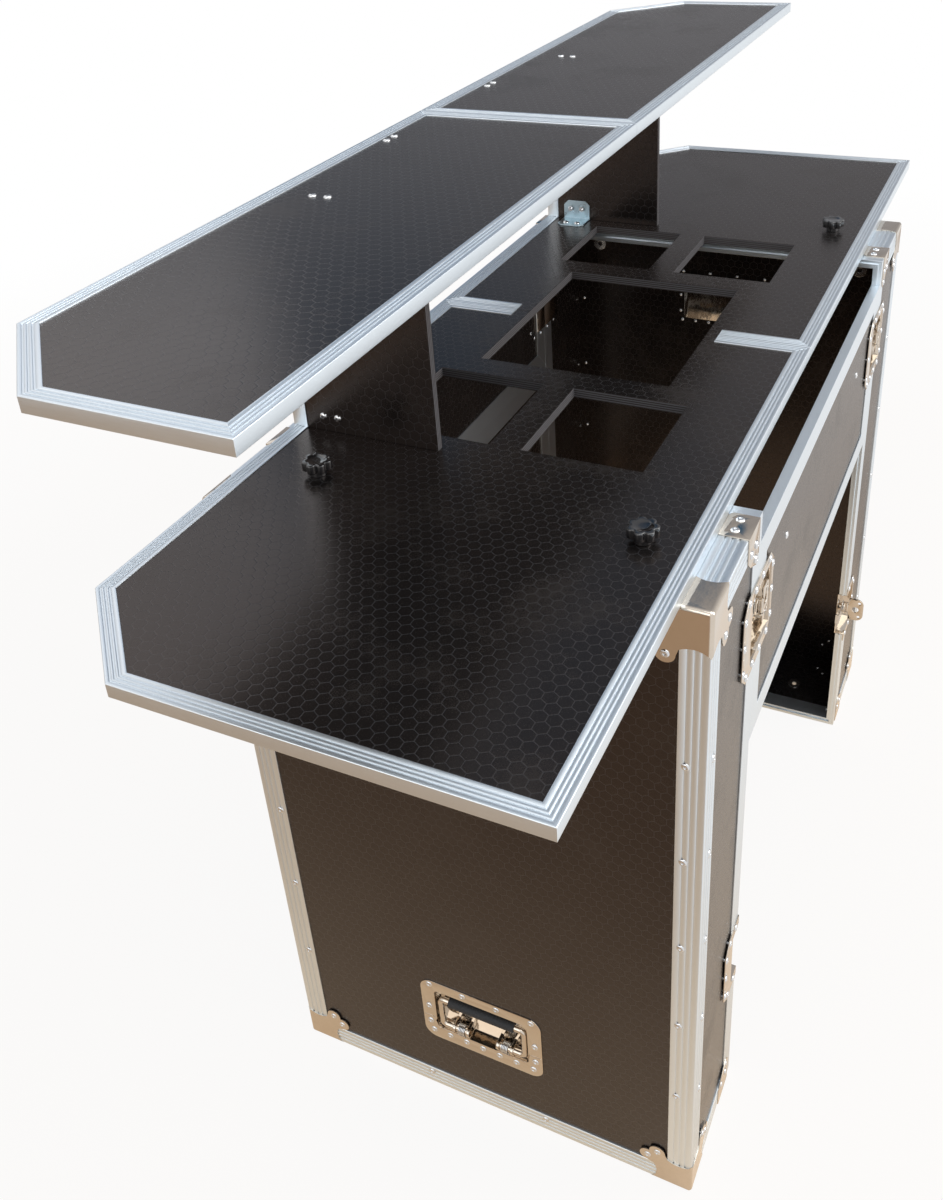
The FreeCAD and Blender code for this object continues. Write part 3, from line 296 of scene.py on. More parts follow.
class Tree:
    """Short ways to add nodes to a tree."""

    def __init__(self, tree):
        self.tree = tree

    def node(self, kind, **values):
        made = self.tree.nodes.new(kind)
        for key, value in values.items():
            setattr(made, key, value)
        return made

    def link(self, source, target):
        if isinstance(source, (int, float, tuple)):
            target.default_value = source
        else:
            self.tree.links.new(source, target)

    def math(self, operation, *sources):
        made = self.node("ShaderNodeMath", operation=operation)
        for index, source in enumerate(sources):
            self.link(source, made.inputs[index])
        return made.outputs[0]

    def vector(self, operation, *sources):
        made = self.node("ShaderNodeVectorMath", operation=operation)
        for index, source in enumerate(sources):
            self.link(source, made.inputs[index])
        return made.outputs["Value" if operation in ("DOT_PRODUCT", "LENGTH") else "Vector"]

    def split(self, source):
        made = self.node("ShaderNodeSeparateXYZ")
        self.link(source, made.inputs[0])
        return made.outputs

    def noise(self, vector, scale, detail=4.0, roughness=0.55):
        made = self.node("ShaderNodeTexNoise")
        self.link(vector, made.inputs["Vector"])
        made.inputs["Scale"].default_value = scale
        made.inputs["Detail"].default_value = detail
        made.inputs["Roughness"].default_value = roughness
        return made.outputs["Fac"]

    def ramp(self, source, low, high, to_low=0.0, to_high=1.0):
        made = self.node("ShaderNodeMapRange", clamp=True)
        self.link(source, made.inputs["Value"])
        made.inputs["From Min"].default_value = low
        made.inputs["From Max"].default_value = high
        made.inputs["To Min"].default_value = to_low
        made.inputs["To Max"].default_value = to_high
        return made.outputs["Result"]

    def mix(self, share, first, second):
        made = self.node("ShaderNodeMix", data_type="RGBA")
        self.link(share, made.inputs["Factor"])
        self.link(first, made.inputs[6])
        self.link(second, made.inputs[7])
        return made.outputs[2]

    def bump(self, height, distance, strength=1.0, normal=None):
        made = self.node("ShaderNodeBump")
        made.inputs["Strength"].default_value = strength
        made.inputs["Distance"].default_value = distance
        self.link(height, made.inputs["Height"])
        if normal is not None:
            self.link(normal, made.inputs["Normal"])
        return made.outputs["Normal"]


def object_place(tree):
    """Row-frame place scaled to millimetres, and the object's own normal."""
    source = tree.node("ShaderNodeTexCoord")
    scale = tree.node("ShaderNodeVectorMath", operation="SCALE")
    tree.link(source.outputs["Object"], scale.inputs[0])
    scale.inputs["Scale"].default_value = 1 / MM
    return scale.outputs[0], source.outputs["Normal"]


def hexagons(tree, across, along, pitch):
    """Distance from the nearest hexagon edge, in pitches, of a flat-sided hexagon net."""
    root = math.sqrt(3)
    u = tree.math("DIVIDE", across, pitch)
    v = tree.math("DIVIDE", along, pitch)

    def cell(shift_u, shift_v):
        a = tree.math("WRAP", tree.math("ADD", u, shift_u), 0.5, -0.5)
        b = tree.math("WRAP", tree.math("ADD", v, shift_v), root / 2, -root / 2)
        length = tree.math("ADD", tree.math("MULTIPLY", a, a), tree.math("MULTIPLY", b, b))
        side = tree.math("ABSOLUTE", a)
        slant = tree.math("ADD", tree.math("MULTIPLY", side, 0.5),
                          tree.math("MULTIPLY", tree.math("ABSOLUTE", b), root / 2))
        return length, tree.math("MAXIMUM", side, slant)

    length_a, reach_a = cell(0.0, 0.0)
    length_b, reach_b = cell(0.5, root / 2)
    nearer = tree.math("LESS_THAN", length_a, length_b)
    picked = tree.math("ADD", tree.math("MULTIPLY", nearer, reach_a),
                       tree.math("MULTIPLY", tree.math("SUBTRACT", 1.0, nearer), reach_b))
    return tree.math("SUBTRACT", 0.5, picked)


def film_material(axis, turned=False):
    """Dark hexagon film on two faces of a board, with plies on its cut edges."""
    material, node_tree, shader = new_material("film_" + axis + ("_turned" if turned else ""))
    tree = Tree(node_tree)
    place, normal = object_place(tree)
    x, y, z = tree.split(place)
    across, along, through = {"x": (y, z, x), "y": (x, z, y), "z": (x, y, z)}[axis]
    if turned:
        across, along = along, across
    gap = hexagons(tree, across, along, hex_pitch)
    line = tree.ramp(gap, 0.012, 0.048, 1.0, 0.0)
    cloud = tree.noise(place, 0.004, 3.0)
    grit = tree.noise(place, 1.2, 3.0)
    smudge = tree.ramp(tree.noise(place, 0.011, 5.0, 0.65), 0.5, 0.72)
    film = tree.mix(cloud, *film_tones)
    film = tree.mix(tree.math("MULTIPLY", line, 0.8), film, film_line)
    film = tree.mix(tree.math("MULTIPLY", smudge, 0.06), film, film_smudge)
    layers = tree.ramp(tree.math("PINGPONG", through, ply_layer), 0.55, 0.85)
    grain = tree.noise(tree.vector("MULTIPLY", place, (0.25, 0.25, 0.25)), 3.0, 6.0)
    plies = tree.mix(layers, *ply_tones)
    plies = tree.mix(tree.math("MULTIPLY", grain, 0.6), plies, ply_grain)
    facing = tree.math("ABSOLUTE", tree.split(normal)["xyz".index(axis)])
    is_film = tree.math("GREATER_THAN", facing, 0.9)
    tree.link(tree.mix(is_film, plies, film), shader.inputs["Base Color"])
    rough = tree.ramp(grit, 0.3, 0.7, 0.21, 0.28)
    rough = tree.math("ADD", rough, tree.math("MULTIPLY", line, 0.03))
    rough = tree.math("ADD", rough, tree.math("MULTIPLY", smudge, 0.07))
    edge_rough = tree.math("SUBTRACT", 0.75, tree.math("MULTIPLY", is_film, 0.75))
    rough = tree.math("ADD", edge_rough, tree.math("MULTIPLY", rough, is_film))
    tree.link(rough, shader.inputs["Roughness"])
    height = tree.math("ADD", tree.ramp(gap, 0.01, 0.06), tree.math("MULTIPLY", grit, 0.22))
    height = tree.math("MULTIPLY", height, is_film)
    height = tree.math("ADD", height, tree.math("MULTIPLY", tree.math("SUBTRACT", 1.0, is_film),
                                                 tree.math("MULTIPLY", grain, 1.5)))
    tree.link(tree.bump(height, 0.08 * MM, 0.7), shader.inputs["Normal"])
    shader.inputs["Specular IOR Level"].default_value = 0.58
    shader.inputs["Specular Tint"].default_value = film_tint
    return material


def metal_material(name, colors, rough, stretch, fine, bump, waviness=0.0):
    """Metal with two near colours, drawn lines along one axis and small scratches."""
    material, node_tree, shader = new_material(name)
    tree = Tree(node_tree)
    place, _ = object_place(tree)
    lines = tree.noise(tree.vector("MULTIPLY", place, stretch), fine, 5.0, 0.6)
    cloud = tree.noise(place, 0.02, 4.0)
    scratch = tree.ramp(tree.noise(tree.vector("MULTIPLY", place, (0.05, 0.05, 0.05)),
                                   9.0, 8.0, 0.75), 0.62, 0.70)
    first = colors[0] + (1,)
    second = colors[1] + (1,)
    tone = tree.mix(tree.math("MULTIPLY", tree.math("ADD", lines, cloud), 0.5), first, second)
    tree.link(tree.mix(tree.math("MULTIPLY", scratch, 0.25), tone, second),
              shader.inputs["Base Color"])
    shader.inputs["Metallic"].default_value = 1.0
    level = tree.ramp(lines, 0.25, 0.75, rough[0], rough[1])
    tree.link(tree.math("ADD", level, tree.math("MULTIPLY", scratch, 0.1)),
              shader.inputs["Roughness"])
    normal = tree.bump(lines, bump * MM, 0.5)
    if waviness:
        wave = tree.noise(place, 0.09, 2.0)
        normal = tree.bump(wave, waviness * MM, 0.6, normal)
    tree.link(normal, shader.inputs["Normal"])
    return material


def plastic_material(name, color, rough, grain, bump, coat=0.0):
    """Moulded plastic or rubber with a fine grain."""
    material, node_tree, shader = new_material(name)
    tree = Tree(node_tree)
    place, _ = object_place(tree)
    fine = tree.noise(place, grain, 4.0)
    cloud = tree.noise(place, 0.08, 3.0)
    pale = tuple(min(1.0, part * 1.8 + 0.004) for part in color)
    tree.link(tree.mix(tree.math("MULTIPLY", cloud, 0.7), color + (1,), pale + (1,)),
              shader.inputs["Base Color"])
    tree.link(tree.ramp(fine, 0.3, 0.7, rough[0], rough[1]), shader.inputs["Roughness"])
    tree.link(tree.bump(fine, bump * MM, 0.6), shader.inputs["Normal"])
    shader.inputs["Coat Weight"].default_value = coat
    shader.inputs["Coat Roughness"].default_value = 0.06
    return material


def make_materials():
    """All materials by name."""
    bright = ((0.74, 0.80, 0.85), (0.79, 0.85, 0.90))
    # Chrome tones: warm partly as plated metal and partly as a painted reflection of a tan floor
    chrome_tones_with_painted_tan = ((0.58, 0.51, 0.43), (0.69, 0.62, 0.54))
    zinc = ((0.36, 0.47, 0.53), (0.55, 0.66, 0.72))
    made = {
        "film_x": film_material("x"),
        "film_y": film_material("y"),
        "film_z": film_material("z", True),
        "profile_x": metal_material("profile_x", bright, (0.34, 0.44), (0.02, 1, 1), 1.6, 0.006),
        "profile_y": metal_material("profile_y", bright, (0.34, 0.44), (1, 0.02, 1), 1.6, 0.006),
        "profile_z": metal_material("profile_z", bright, (0.34, 0.44), (1, 1, 0.02), 1.6, 0.006),
        "chrome": metal_material("chrome", chrome_tones_with_painted_tan, (0.06, 0.14), (0.3, 0.3, 0.3), 0.4, 0.01, 0.35),
        "zinc": metal_material("zinc", zinc, (0.22, 0.42), (0.4, 0.4, 0.4), 0.35, 0.03, 0.2),
        "steel": metal_material("steel", ((0.62, 0.63, 0.65), (0.78, 0.79, 0.8)),
                                (0.12, 0.25), (0.5, 0.5, 0.5), 1.0, 0.01),
        "knob": plastic_material("knob", (0.008, 0.008, 0.009), (0.10, 0.18), 0.6, 0.01, 0.8),
        "rubber": plastic_material("rubber", (0.022, 0.024, 0.027), (0.62, 0.82), 1.4, 0.12),
    }
    return made


# Mesh helpers


def finish_piece(name, mesh_data, materials, body, replaced, sharp=35):
    """Object from a bmesh, smooth between its sharp edges, riding on a body."""
    bmesh.ops.recalc_face_normals(mesh_data, faces=mesh_data.faces)
    mesh = bpy.data.meshes.new(name)
    mesh_data.to_mesh(mesh)
    mesh_data.free()
    for polygon in mesh.polygons:
        polygon.use_smooth = True
    mesh.set_sharp_from_angle(angle=math.radians(sharp))
    for material in materials:
        mesh.materials.append(material)
    piece = bpy.data.objects.new(name, mesh)
    bpy.context.scene.collection.objects.link(piece)
    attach(piece, body)
    if replaced:
        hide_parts(*replaced)
    return piece


def add_lathe(target, profile, steps, matrix, material=0):
    """Closed solid of revolution about z from (radius, height) points, put by a matrix."""
    rings = []
    for radius, height in profile:
        if radius == 0:
            rings.append([target.verts.new(matrix @ Vector((0, 0, height)))])
            continue
        ring = []
        for step in range(steps):
            angle = 2 * math.pi * step / steps
            ring.append(target.verts.new(
                matrix @ Vector((radius * math.cos(angle), radius * math.sin(angle), height))))
        rings.append(ring)
    bridge_rings(target, rings, material)


def bridge_rings(target, rings, material):
    """Faces between rings of points, where a ring of one point is a pole."""
    for first, second in zip(rings, rings[1:]):
        count = max(len(first), len(second))
        for step in range(count):
            here, there = step, (step + 1) % count
            if len(first) == 1:
                corners = (first[0], second[here], second[there])
            elif len(second) == 1:
                corners = (first[there], first[here], second[0])
            else:
                corners = (first[here], second[here], second[there], first[there])
            face = target.faces.new(corners)
            face.material_index = material


def turn_to(normal, place):
    """Matrix that puts local z along a normal at a place."""
    matrix = Vector(normal).to_track_quat("Z", "X").to_matrix().to_4x4()
    matrix.translation = Vector(place)
    return matrix


def inset_corner(outline, index, depth):
    """Corner of an anticlockwise outline moved inside by a depth off both its edges."""
    here = Vector(outline[index % len(outline)])
    before = Vector(outline[(index - 1) % len(outline)])
    after = Vector(outline[(index + 1) % len(outline)])
    first = (here - before).normalized()
    second = (after - here).normalized()
    inward_in = Vector((-first.y, first.x))
    inward_out = Vector((-second.y, second.x))
    both = inward_in + inward_out
    return here + both * (depth / (1 + inward_in.dot(inward_out)))


def arc_points(centre, radius, start, end, steps):
    """Points on an arc, angles in degrees."""
    points = []
    for step in range(steps + 1):
        angle = math.radians(start + (end - start) * step / steps)
        points.append((centre[0] + radius * math.cos(angle), centre[1] + radius * math.sin(angle)))
    return points


def groove_points(place, face, depth, width):
    """Rounded groove in a face at height `face`, from left to right."""
    half = width / 2
    soft = depth * 0.45
    return [(place - half - soft, face), (place - half, face - soft * 0.6),
            (place - half + soft * 0.5, face - depth), (place + half - soft * 0.5, face - depth),
            (place + half, face - soft * 0.6), (place + half + soft, face)]


def channel_section(height, thick, reach, grooves, round_radius):
    """Section of an edge channel as (depth inside the edge, height) points."""
    points = arc_points((round_radius, round_radius), round_radius, 270, 180, 4)
    points = points + arc_points((round_radius, height - round_radius), round_radius, 180, 90, 4)
    for place in grooves:
        points += groove_points(place, height, groove_depth, groove_width)
    points += arc_points((reach - lip_round, height - lip_round), lip_round, 90, 0, 2)
    points += [(reach, height - thick), (thick, height - thick), (thick, thick), (reach, thick)]
    points += arc_points((reach - lip_round, lip_round), lip_round, 0, -90, 2)
    return points


def angle_section():
    """Section of a case angle with leaves along both axes and its corner at the origin."""
    leaf = [(angle_round, 0)]
    for place in angle_grooves:
        leaf += [(across, -height) for across, height in
                 groove_points(place, 0, groove_depth, groove_width)]
    leaf += [(angle_leaf - lip_round, 0), (angle_leaf, lip_round), (angle_leaf, angle_skin)]
    inner = [(angle_skin, angle_skin)]
    other = [(y, x) for x, y in reversed(leaf)]
    corner = arc_points((angle_round, angle_round), angle_round, 180, 270, 4)[1:-1]
    return leaf + inner + other + corner


def add_loft(target, rings, material):
    """Closed bar between rings of equal point counts, capped at both ends."""
    made = [[target.verts.new(point) for point in ring] for ring in rings]
    count = len(made[0])
    for first, second in zip(made, made[1:]):
        for step in range(count):
            there = (step + 1) % count
            face = target.faces.new((first[step], first[there], second[there], second[step]))
            face.material_index = material
    for ring in (made[0], list(reversed(made[-1]))):
        face = target.faces.new(ring)
        face.material_index = material


def add_channel(target, outline, index, section, put, material):
    """One mitred length of channel along an outline's edge."""
    rings = [[put(*inset_corner(outline, corner, depth), height) for depth, height in section]
             for corner in (index, index + 1)]
    add_loft(target, rings, material)


# Aluminium profiles


def run_material(start, end):
    """Index of the drawn-line material that follows a level run, of the x and y ones."""
    return 0 if abs(end[0] - start[0]) >= abs(end[1] - start[1]) else 1


def make_edging(end, side, materials):
    """Edge channels of one half's worktop, counter and fin."""
    work_low, work_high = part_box(end + "_worktop")
    top_low, top_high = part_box(end + "_counter")
    target = bmesh.new()
    section = channel_section(board_thick, skin, flange, board_grooves, outer_round)
    boards = ((work_low, work_high, work_low.z - skin), (top_low, top_high, top_low.z - skin))
    for board_low, board_high, base in boards:
        start = joint_gap
        reach = max(abs(board_low.x), abs(board_high.x)) + skin
        front = board_low.y - skin
        back = board_high.y + skin
        outline = [(start, front), (reach - chamfer, front), (reach, front + chamfer),
                   (reach, back), (start, back)]

        def put(x, y, z, base=base):
            return Vector((side * x, y, base + z))

        is_worktop = board_low.z == work_low.z
        for index in range(len(outline)):
            material = run_material(outline[index], outline[(index + 1) % len(outline)])
            if index == len(outline) - 1 and is_worktop:
                add_joint_strips(target, outline, section, put, material)
            else:
                add_channel(target, outline, index, section, put, material)
    fin_low, fin_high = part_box(end + "_fin")
    add_fin_channel(target, side, fin_low, fin_high)
    return finish_piece(end + "_edge_profiles", target, materials, end + "_top",
                        [end + "_edging"])


def add_joint_strips(target, outline, section, put, material):
    """Short channels at the front and back of the worktop's joint."""
    for end_y, corner in ((strip_front, 0), (strip_back, len(outline) - 1)):
        mitre = [put(*inset_corner(outline, corner, depth), height) for depth, height in section]
        square = [put(outline[0][0] + depth, end_y, height) for depth, height in section]
        add_loft(target, [mitre, square], material)


def add_fin_channel(target, side, fin_low, fin_high):
    """Plain channel on the customers' edge of a fin."""
    inner = min(abs(fin_low.x), abs(fin_high.x))
    points = []
    wide = fin_ply + 2 * skin
    for depth, height in channel_section(wide, skin, flange, (), outer_round):
        points.append((inner - skin + height, fin_front + depth))
    rings = [[Vector((side * x, y, z)) for x, y in points]
             for z in (worktop_top, counter_under)]
    add_loft(target, rings, 2)


def make_angles(materials):
    """Grooved angles on the outer edges of both legs, stopped at the caps."""
    low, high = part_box("edge_angles")
    target = bmesh.new()
    section = angle_section()
    rim = leg_rim + angle_leaf
    gap = cap_angle_gap
    centre_y = (low.y + high.y) / 2
    centre_z = (low.z + high.z) / 2
    half_y = (high.y - low.y) / 2
    half_z = (high.z - low.z) / 2
    reach = high.x
    for end in (1, -1):
        for side in (1, -1):
            for level in (1, -1):
                corner_y = centre_y + side * half_y
                corner_z = centre_z + level * half_z
                rings = [[Vector((end * x, corner_y - side * a, corner_z - level * b))
                          for a, b in section] for x in (rim, reach - gap)]
                add_loft(target, rings, 0)
            rings = [[Vector((end * (reach - a), centre_y + side * (half_y - b), z))
                      for a, b in section]
                     for z in (low.z + gap, high.z - gap)]
            add_loft(target, rings, 2)
        for level in (1, -1):
            rings = [[Vector((end * (reach - a), y, centre_z + level * (half_z - b)))
                      for a, b in section]
                     for y in (low.y + gap, high.y - gap)]
            add_loft(target, rings, 1)
    return finish_piece("case_edge_angles", target, materials, "root", ["edge_angles"])


# Solids of a CAD node, for pieces that are worked from them


def node_solids(name):
    """Closed solids of a CAD node, each as a list of points and a list of faces."""
    mesh = nodes[name].data
    keys = [tuple(round(part * 1e6) for part in vertex.co) for vertex in mesh.vertices]
    solids = []
    faces = []
    open_edges = set()
    for polygon in mesh.polygons:
        corners = [keys[index] for index in polygon.vertices]
        if len(set(corners)) < len(corners):
            continue
        faces.append(corners)
        for here, there in zip(corners, corners[1:] + corners[:1]):
            if (there, here) in open_edges:
                open_edges.remove((there, here))
            else:
                open_edges.add((here, there))
        if not open_edges:
            solids.append(faces)
            faces = []
    if faces:
        solids.append(faces)
    return solids


def solid_box(solid):
    """Lowest and highest corners of a solid's points."""
    points = [point for face in solid for point in face]
    low = Vector(min(point[axis] for point in points) / 1e6 for axis in range(3))
    high = Vector(max(point[axis] for point in points) / 1e6 for axis in range(3))
    return low, high


def solid_mesh(solid):
    """Bmesh of one CAD solid with its flat faces joined up."""
    part = bmesh.new()
    made = {}
    for face in solid:
        corners = []
        for point in face:
            if point not in made:
                made[point] = part.verts.new(Vector(point) / 1e6)
            corners.append(made[point])
        try:
            part.faces.new(corners)
        except ValueError:
            continue
    bmesh.ops.dissolve_limit(part, angle_limit=math.radians(1), verts=part.verts,
                             edges=part.edges)
    return part


def soften_solid(solid, width):
    """Bmesh of one CAD solid, rounded at every edge that is sharper than 30 degrees."""
    part = solid_mesh(solid)
    edges = [edge for edge in part.edges
             if edge.is_manifold and edge.calc_face_angle(0) > math.radians(30)]
    bmesh.ops.bevel(part, geom=edges, offset=width, offset_type="OFFSET", segments=2,
                    profile=0.5, affect="EDGES", clamp_overlap=False)
    return part


def take_in(target, part, material):
    """Move a bmesh into another one, with one material index on all its faces."""
    for face in part.faces:
        face.material_index = material
    mesh = bpy.data.meshes.new("part")
    part.to_mesh(mesh)
    part.free()
    target.from_mesh(mesh)
    bpy.data.meshes.remove(mesh)


def add_crease(target, start, end):
    """Low rounded ridge between two points of an end plate, square to it on +X or -X."""
    outward = Vector((1 if start.x > 0 else -1, 0, 0))
    along = (end - start).normalized()
    across = along.cross(outward)
    rings = []
    for place, scale in ((start, 0.3), (start.lerp(end, 0.12), 1.0), (start.lerp(end, 0.88), 1.0),
                         (end, 0.3)):
        arc = arc_points((0, 0), scale, 0, 180, 6)
        rings.append([place + across * (crease_width / 2 * flat) + outward * (crease_rise * rise)
                      for flat, rise in arc])
    add_loft(target, rings, 0)


def make_dishes(material):
    """Handle dishes with soft edges and the creases beside their tubs."""
    target = bmesh.new()
    for solid in node_solids("handle_dishes"):
        low, high = solid_box(solid)
        take_in(target, soften_solid(solid, dish_edge), 0)
        side = 1 if low.x > 0 else -1
        front = side * (abs(high.x if side > 0 else low.x) - dish_proud)
        middle = (low + high) / 2
        level = middle.z - crease_drop
        for turn in (-1, 1):
            add_crease(target, Vector((front, middle.y + turn * crease_in, level)),
                       Vector((front, middle.y + turn * crease_out, level)))
    return finish_piece("handle_dishes_finished", target, [material], "root",
                        ["handle_dishes"], 30)


def longest_axis(solid):
    """Axis along which a solid is longest."""
    low, high = solid_box(solid)
    size = high - low
    return max(range(3), key=lambda axis: size[axis])


def make_soft(node, materials, width, sharp):
    """Piece with soft edges from a CAD node, whose lines follow each solid's length."""
    target = bmesh.new()
    for solid in node_solids(node):
        part = soften_solid(solid, width)
        index = longest_axis(solid) if len(materials) > 1 else 0
        take_in(target, part, index)
    return finish_piece(node + "_finished", target, materials, body_of[node],
                        [node], sharp)


# Rivets and bolts


def rivet_profile(grip, is_flush):
    """Profile of a set pop rivet with a hollow head, seat at height 0."""
    tail = [(0, -grip - rivet_tail)]
    tail += [(radius * MM, height * MM - grip) for radius, height in rivet_bulb]
    tail += [(rivet_shank, -grip), (rivet_shank, 0)]
    if is_flush:
        return tail + [(0, 0)]
    return tail + [(rivet_head, 0)] + [(radius * MM, height * MM) for radius, height in rivet_dome]


def rivet_seat(solid):
    """Seat, outward normal, grip and flushness of one CAD rivet."""
    low, high = solid_box(solid)
    size = high - low
    axis = longest_axis(solid)
    middle = (low + high) / 2
    others = [index for index in range(3) if index != axis]
    head = max(size[index] for index in others) / 2
    points = {point for face in solid for point in face}
    wide = []
    for point in points:
        place = Vector(point) / 1e6
        spread = math.hypot(*(place[index] - middle[index] for index in others))
        if spread > head - 0.05 * MM:
            wide.append(place[axis])
    seat = sum(wide) / len(wide)
    normal = Vector((0, 0, 0))
    is_flush = head < rivet_head * 0.9
    if is_flush:
        outer = low[axis] if abs(low[axis] - seat) > abs(high[axis] - seat) else high[axis]
        normal[axis] = 1 if outer > seat else -1
        grip = abs(outer - seat)
        seat = outer
    else:
        normal[axis] = 1 if (high[axis] - seat) < (seat - low[axis]) else -1
        tail = low[axis] if normal[axis] > 0 else high[axis]
        grip = abs(seat - tail) - rivet_tail
    place = middle.copy()
    place[axis] = seat
    return place, normal, grip, is_flush


def make_rivets(material):
    """All pop rivets, each set where its CAD solid is."""
    target = bmesh.new()
    for solid in node_solids("rivets"):
        place, normal, grip, is_flush = rivet_seat(solid)
        add_lathe(target, rivet_profile(grip, is_flush), 20, turn_to(normal, place))
    return finish_piece("pop_rivets", target, [material], "root", ["rivets"], 50)


def hexagon_radius(angle, flat):
    """Distance from the middle to a hexagon's side, in one direction."""
    sixth = math.pi / 3
    return flat / math.cos((angle % sixth) - sixth / 2)


def ring_points(radius_at, height, steps, matrix):
    """Closed ring of points whose radius depends on the angle."""
    points = []
    for step in range(steps):
        angle = 2 * math.pi * step / steps
        radius = radius_at(angle)
        points.append(matrix @ Vector((radius * math.cos(angle), radius * math.sin(angle), height)))
    return points


def add_rings(target, rings, material=0):
    """Surface through rings of points, where a ring of one point is a pole."""
    made = [[target.verts.new(point) for point in ring] for ring in rings]
    bridge_rings(target, made, material)


def round_at(radius):
    """Radius function of a circle."""
    return lambda angle: radius


def bolt_axis(solid):
    """Lowest and highest corners, middle and axis index of a bolt or nut."""
    low, high = solid_box(solid)
    size = high - low
    pairs = [(abs(size[(axis + 1) % 3] - size[(axis + 2) % 3]), axis) for axis in range(3)]
    return low, high, (low + high) / 2, min(pairs)[1]


def thread_rings(radius, root_share, pitch, low, steps, matrix):
    """Crests and roots of a thread, from its lower end up to the seat at height 0."""
    rings = []
    level = low + pitch
    while level < -pitch:
        rings.append(ring_points(round_at(radius), level, steps, matrix))
        rings.append(ring_points(round_at(radius * root_share), level + pitch / 2, steps, matrix))
        level += pitch
    return rings


def add_nut(target, low, high, middle, axis, steps):
    """Chamfered hexagon nut with its bore."""
    length = high[axis] - low[axis]
    normal = Vector((0, 0, 0))
    normal[axis] = 1
    place = middle.copy()
    place[axis] = low[axis]
    matrix = turn_to(normal, place)
    flat = min((high - low)[index] for index in range(3) if index != axis) / 2

    def side(angle):
        return hexagon_radius(angle, flat)

    def end(angle):
        return min(hexagon_radius(angle, flat), flat * 1.02)

    add_rings(target, [ring_points(shape, length * share, steps, matrix) for shape, share in (
        (round_at(nut_bore), 0), (end, 0), (side, 0.12), (side, 0.88), (end, 1),
        (round_at(nut_bore), 1), (round_at(nut_bore), 0))])


def add_bolt(target, solid, steps=24):
    """Domed bolt with a socket in its head, or a chamfered nut, where its CAD solid is."""
    low, high, middle, axis = bolt_axis(solid)
    length = high[axis] - low[axis]
    if length < bolt_rise * 3:
        add_nut(target, low, high, middle, axis, steps)
        return
    spread = []
    for face in solid:
        for point in face:
            place = Vector(point) / 1e6
            reach = math.hypot(*(place[index] - middle[index] for index in range(3)
                                 if index != axis))
            if reach > bolt_head - 0.1 * MM:
                spread.append(place[axis])
    normal = Vector((0, 0, 0))
    normal[axis] = 1 if sum(spread) / len(spread) > middle[axis] else -1
    outer = high[axis] if normal[axis] > 0 else low[axis]
    place = middle.copy()
    place[axis] = outer - normal[axis] * bolt_rise
    matrix = turn_to(normal, place)
    end = bolt_rise - length
    rings = [[matrix @ Vector((0, 0, end))],
             ring_points(round_at(bolt_shank * 0.8), end, steps, matrix)]
    rings += thread_rings(bolt_shank, 0.88, bolt_pitch, end, steps, matrix)
    rings.append(ring_points(round_at(bolt_shank), 0, steps, matrix))
    for radius, height in bolt_dome_shares:
        rings.append(ring_points(round_at(bolt_head * radius), bolt_rise * height, steps, matrix))

    def six(angle):
        return hexagon_radius(angle, bolt_socket)

    rings.append(ring_points(six, bolt_rise, steps, matrix))
    rings.append(ring_points(six, bolt_rise * 0.12, steps, matrix))
    rings.append([matrix @ Vector((0, 0, bolt_rise * 0.08))])
    add_rings(target, rings)


def make_bolts(end, material):
    """Bolts and nuts of one half."""
    target = bmesh.new()
    for solid in node_solids(end + "_bolts"):
        add_bolt(target, solid)
    return finish_piece(end + "_bolts_and_nuts", target, [material], end + "_top",
                        [end + "_bolts"], 40)


def star_radius(angle, inset):
    """Outline of the knob's head, drawn in by an inset."""
    part = 2 * math.pi / knob_lobes
    offset = (angle + part / 2) % part - part / 2
    across = knob_lobe_centre * math.sin(offset)
    lobe = 0.0
    if abs(across) < knob_lobe:
        lobe = knob_lobe_centre * math.cos(offset) + math.sqrt(knob_lobe ** 2 - across ** 2)
    return (knob_core ** knob_blend + lobe ** knob_blend) ** (1 / knob_blend) - inset


def make_knob(node, materials):
    """Star knob with a dished top, its hub and its threaded stud."""
    low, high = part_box(node)
    middle = (low + high) / 2
    seat = high.z - knob_height
    matrix = Matrix.Translation((middle.x, middle.y, seat))
    steps = 96
    target = bmesh.new()
    depth = seat - low.z
    foot = ring_points(round_at(knob_stud * 0.9), 0, steps, matrix)
    rings = [[matrix @ Vector((0, 0, -depth))],
             ring_points(round_at(knob_stud * 0.75), -depth, steps, matrix)]
    rings += thread_rings(knob_stud, 0.86, knob_pitch, -depth, steps, matrix)
    add_rings(target, rings + [foot], 1)
    rings = [foot]
    for radius, height in knob_hub_rings:
        rings.append(ring_points(round_at(radius * MM), height * MM, steps, matrix))
    for inset, height in knob_star_rings:
        def star(angle, inset=inset):
            return star_radius(angle, inset * MM)
        rings.append(ring_points(star, height * MM, steps, matrix))
    for radius, height in knob_dish_rings:
        rings.append(ring_points(round_at(radius * MM), height * MM, steps, matrix))
    rings.append([matrix @ Vector((0, 0, knob_dish_floor))])
    add_rings(target, rings, 0)
    bmesh.ops.remove_doubles(target, verts=target.verts, dist=1e-6)
    return finish_piece(node + "_star", target, materials, node, [node], 40)


def rounded_box_point(point, corner, inward, radius):
    """Point of a box's skin, moved so that the box's edges at one corner are round."""
    depth = [(point[axis] - corner[axis]) * inward[axis] for axis in range(3)]
    spans = [max(radius - value, 0.0) for value in depth]
    length = math.sqrt(sum(value * value for value in spans))
    if length == 0:
        return point
    share = max(spans) / length
    return Vector(point[axis] + inward[axis] * spans[axis] * (1 - share) for axis in range(3))


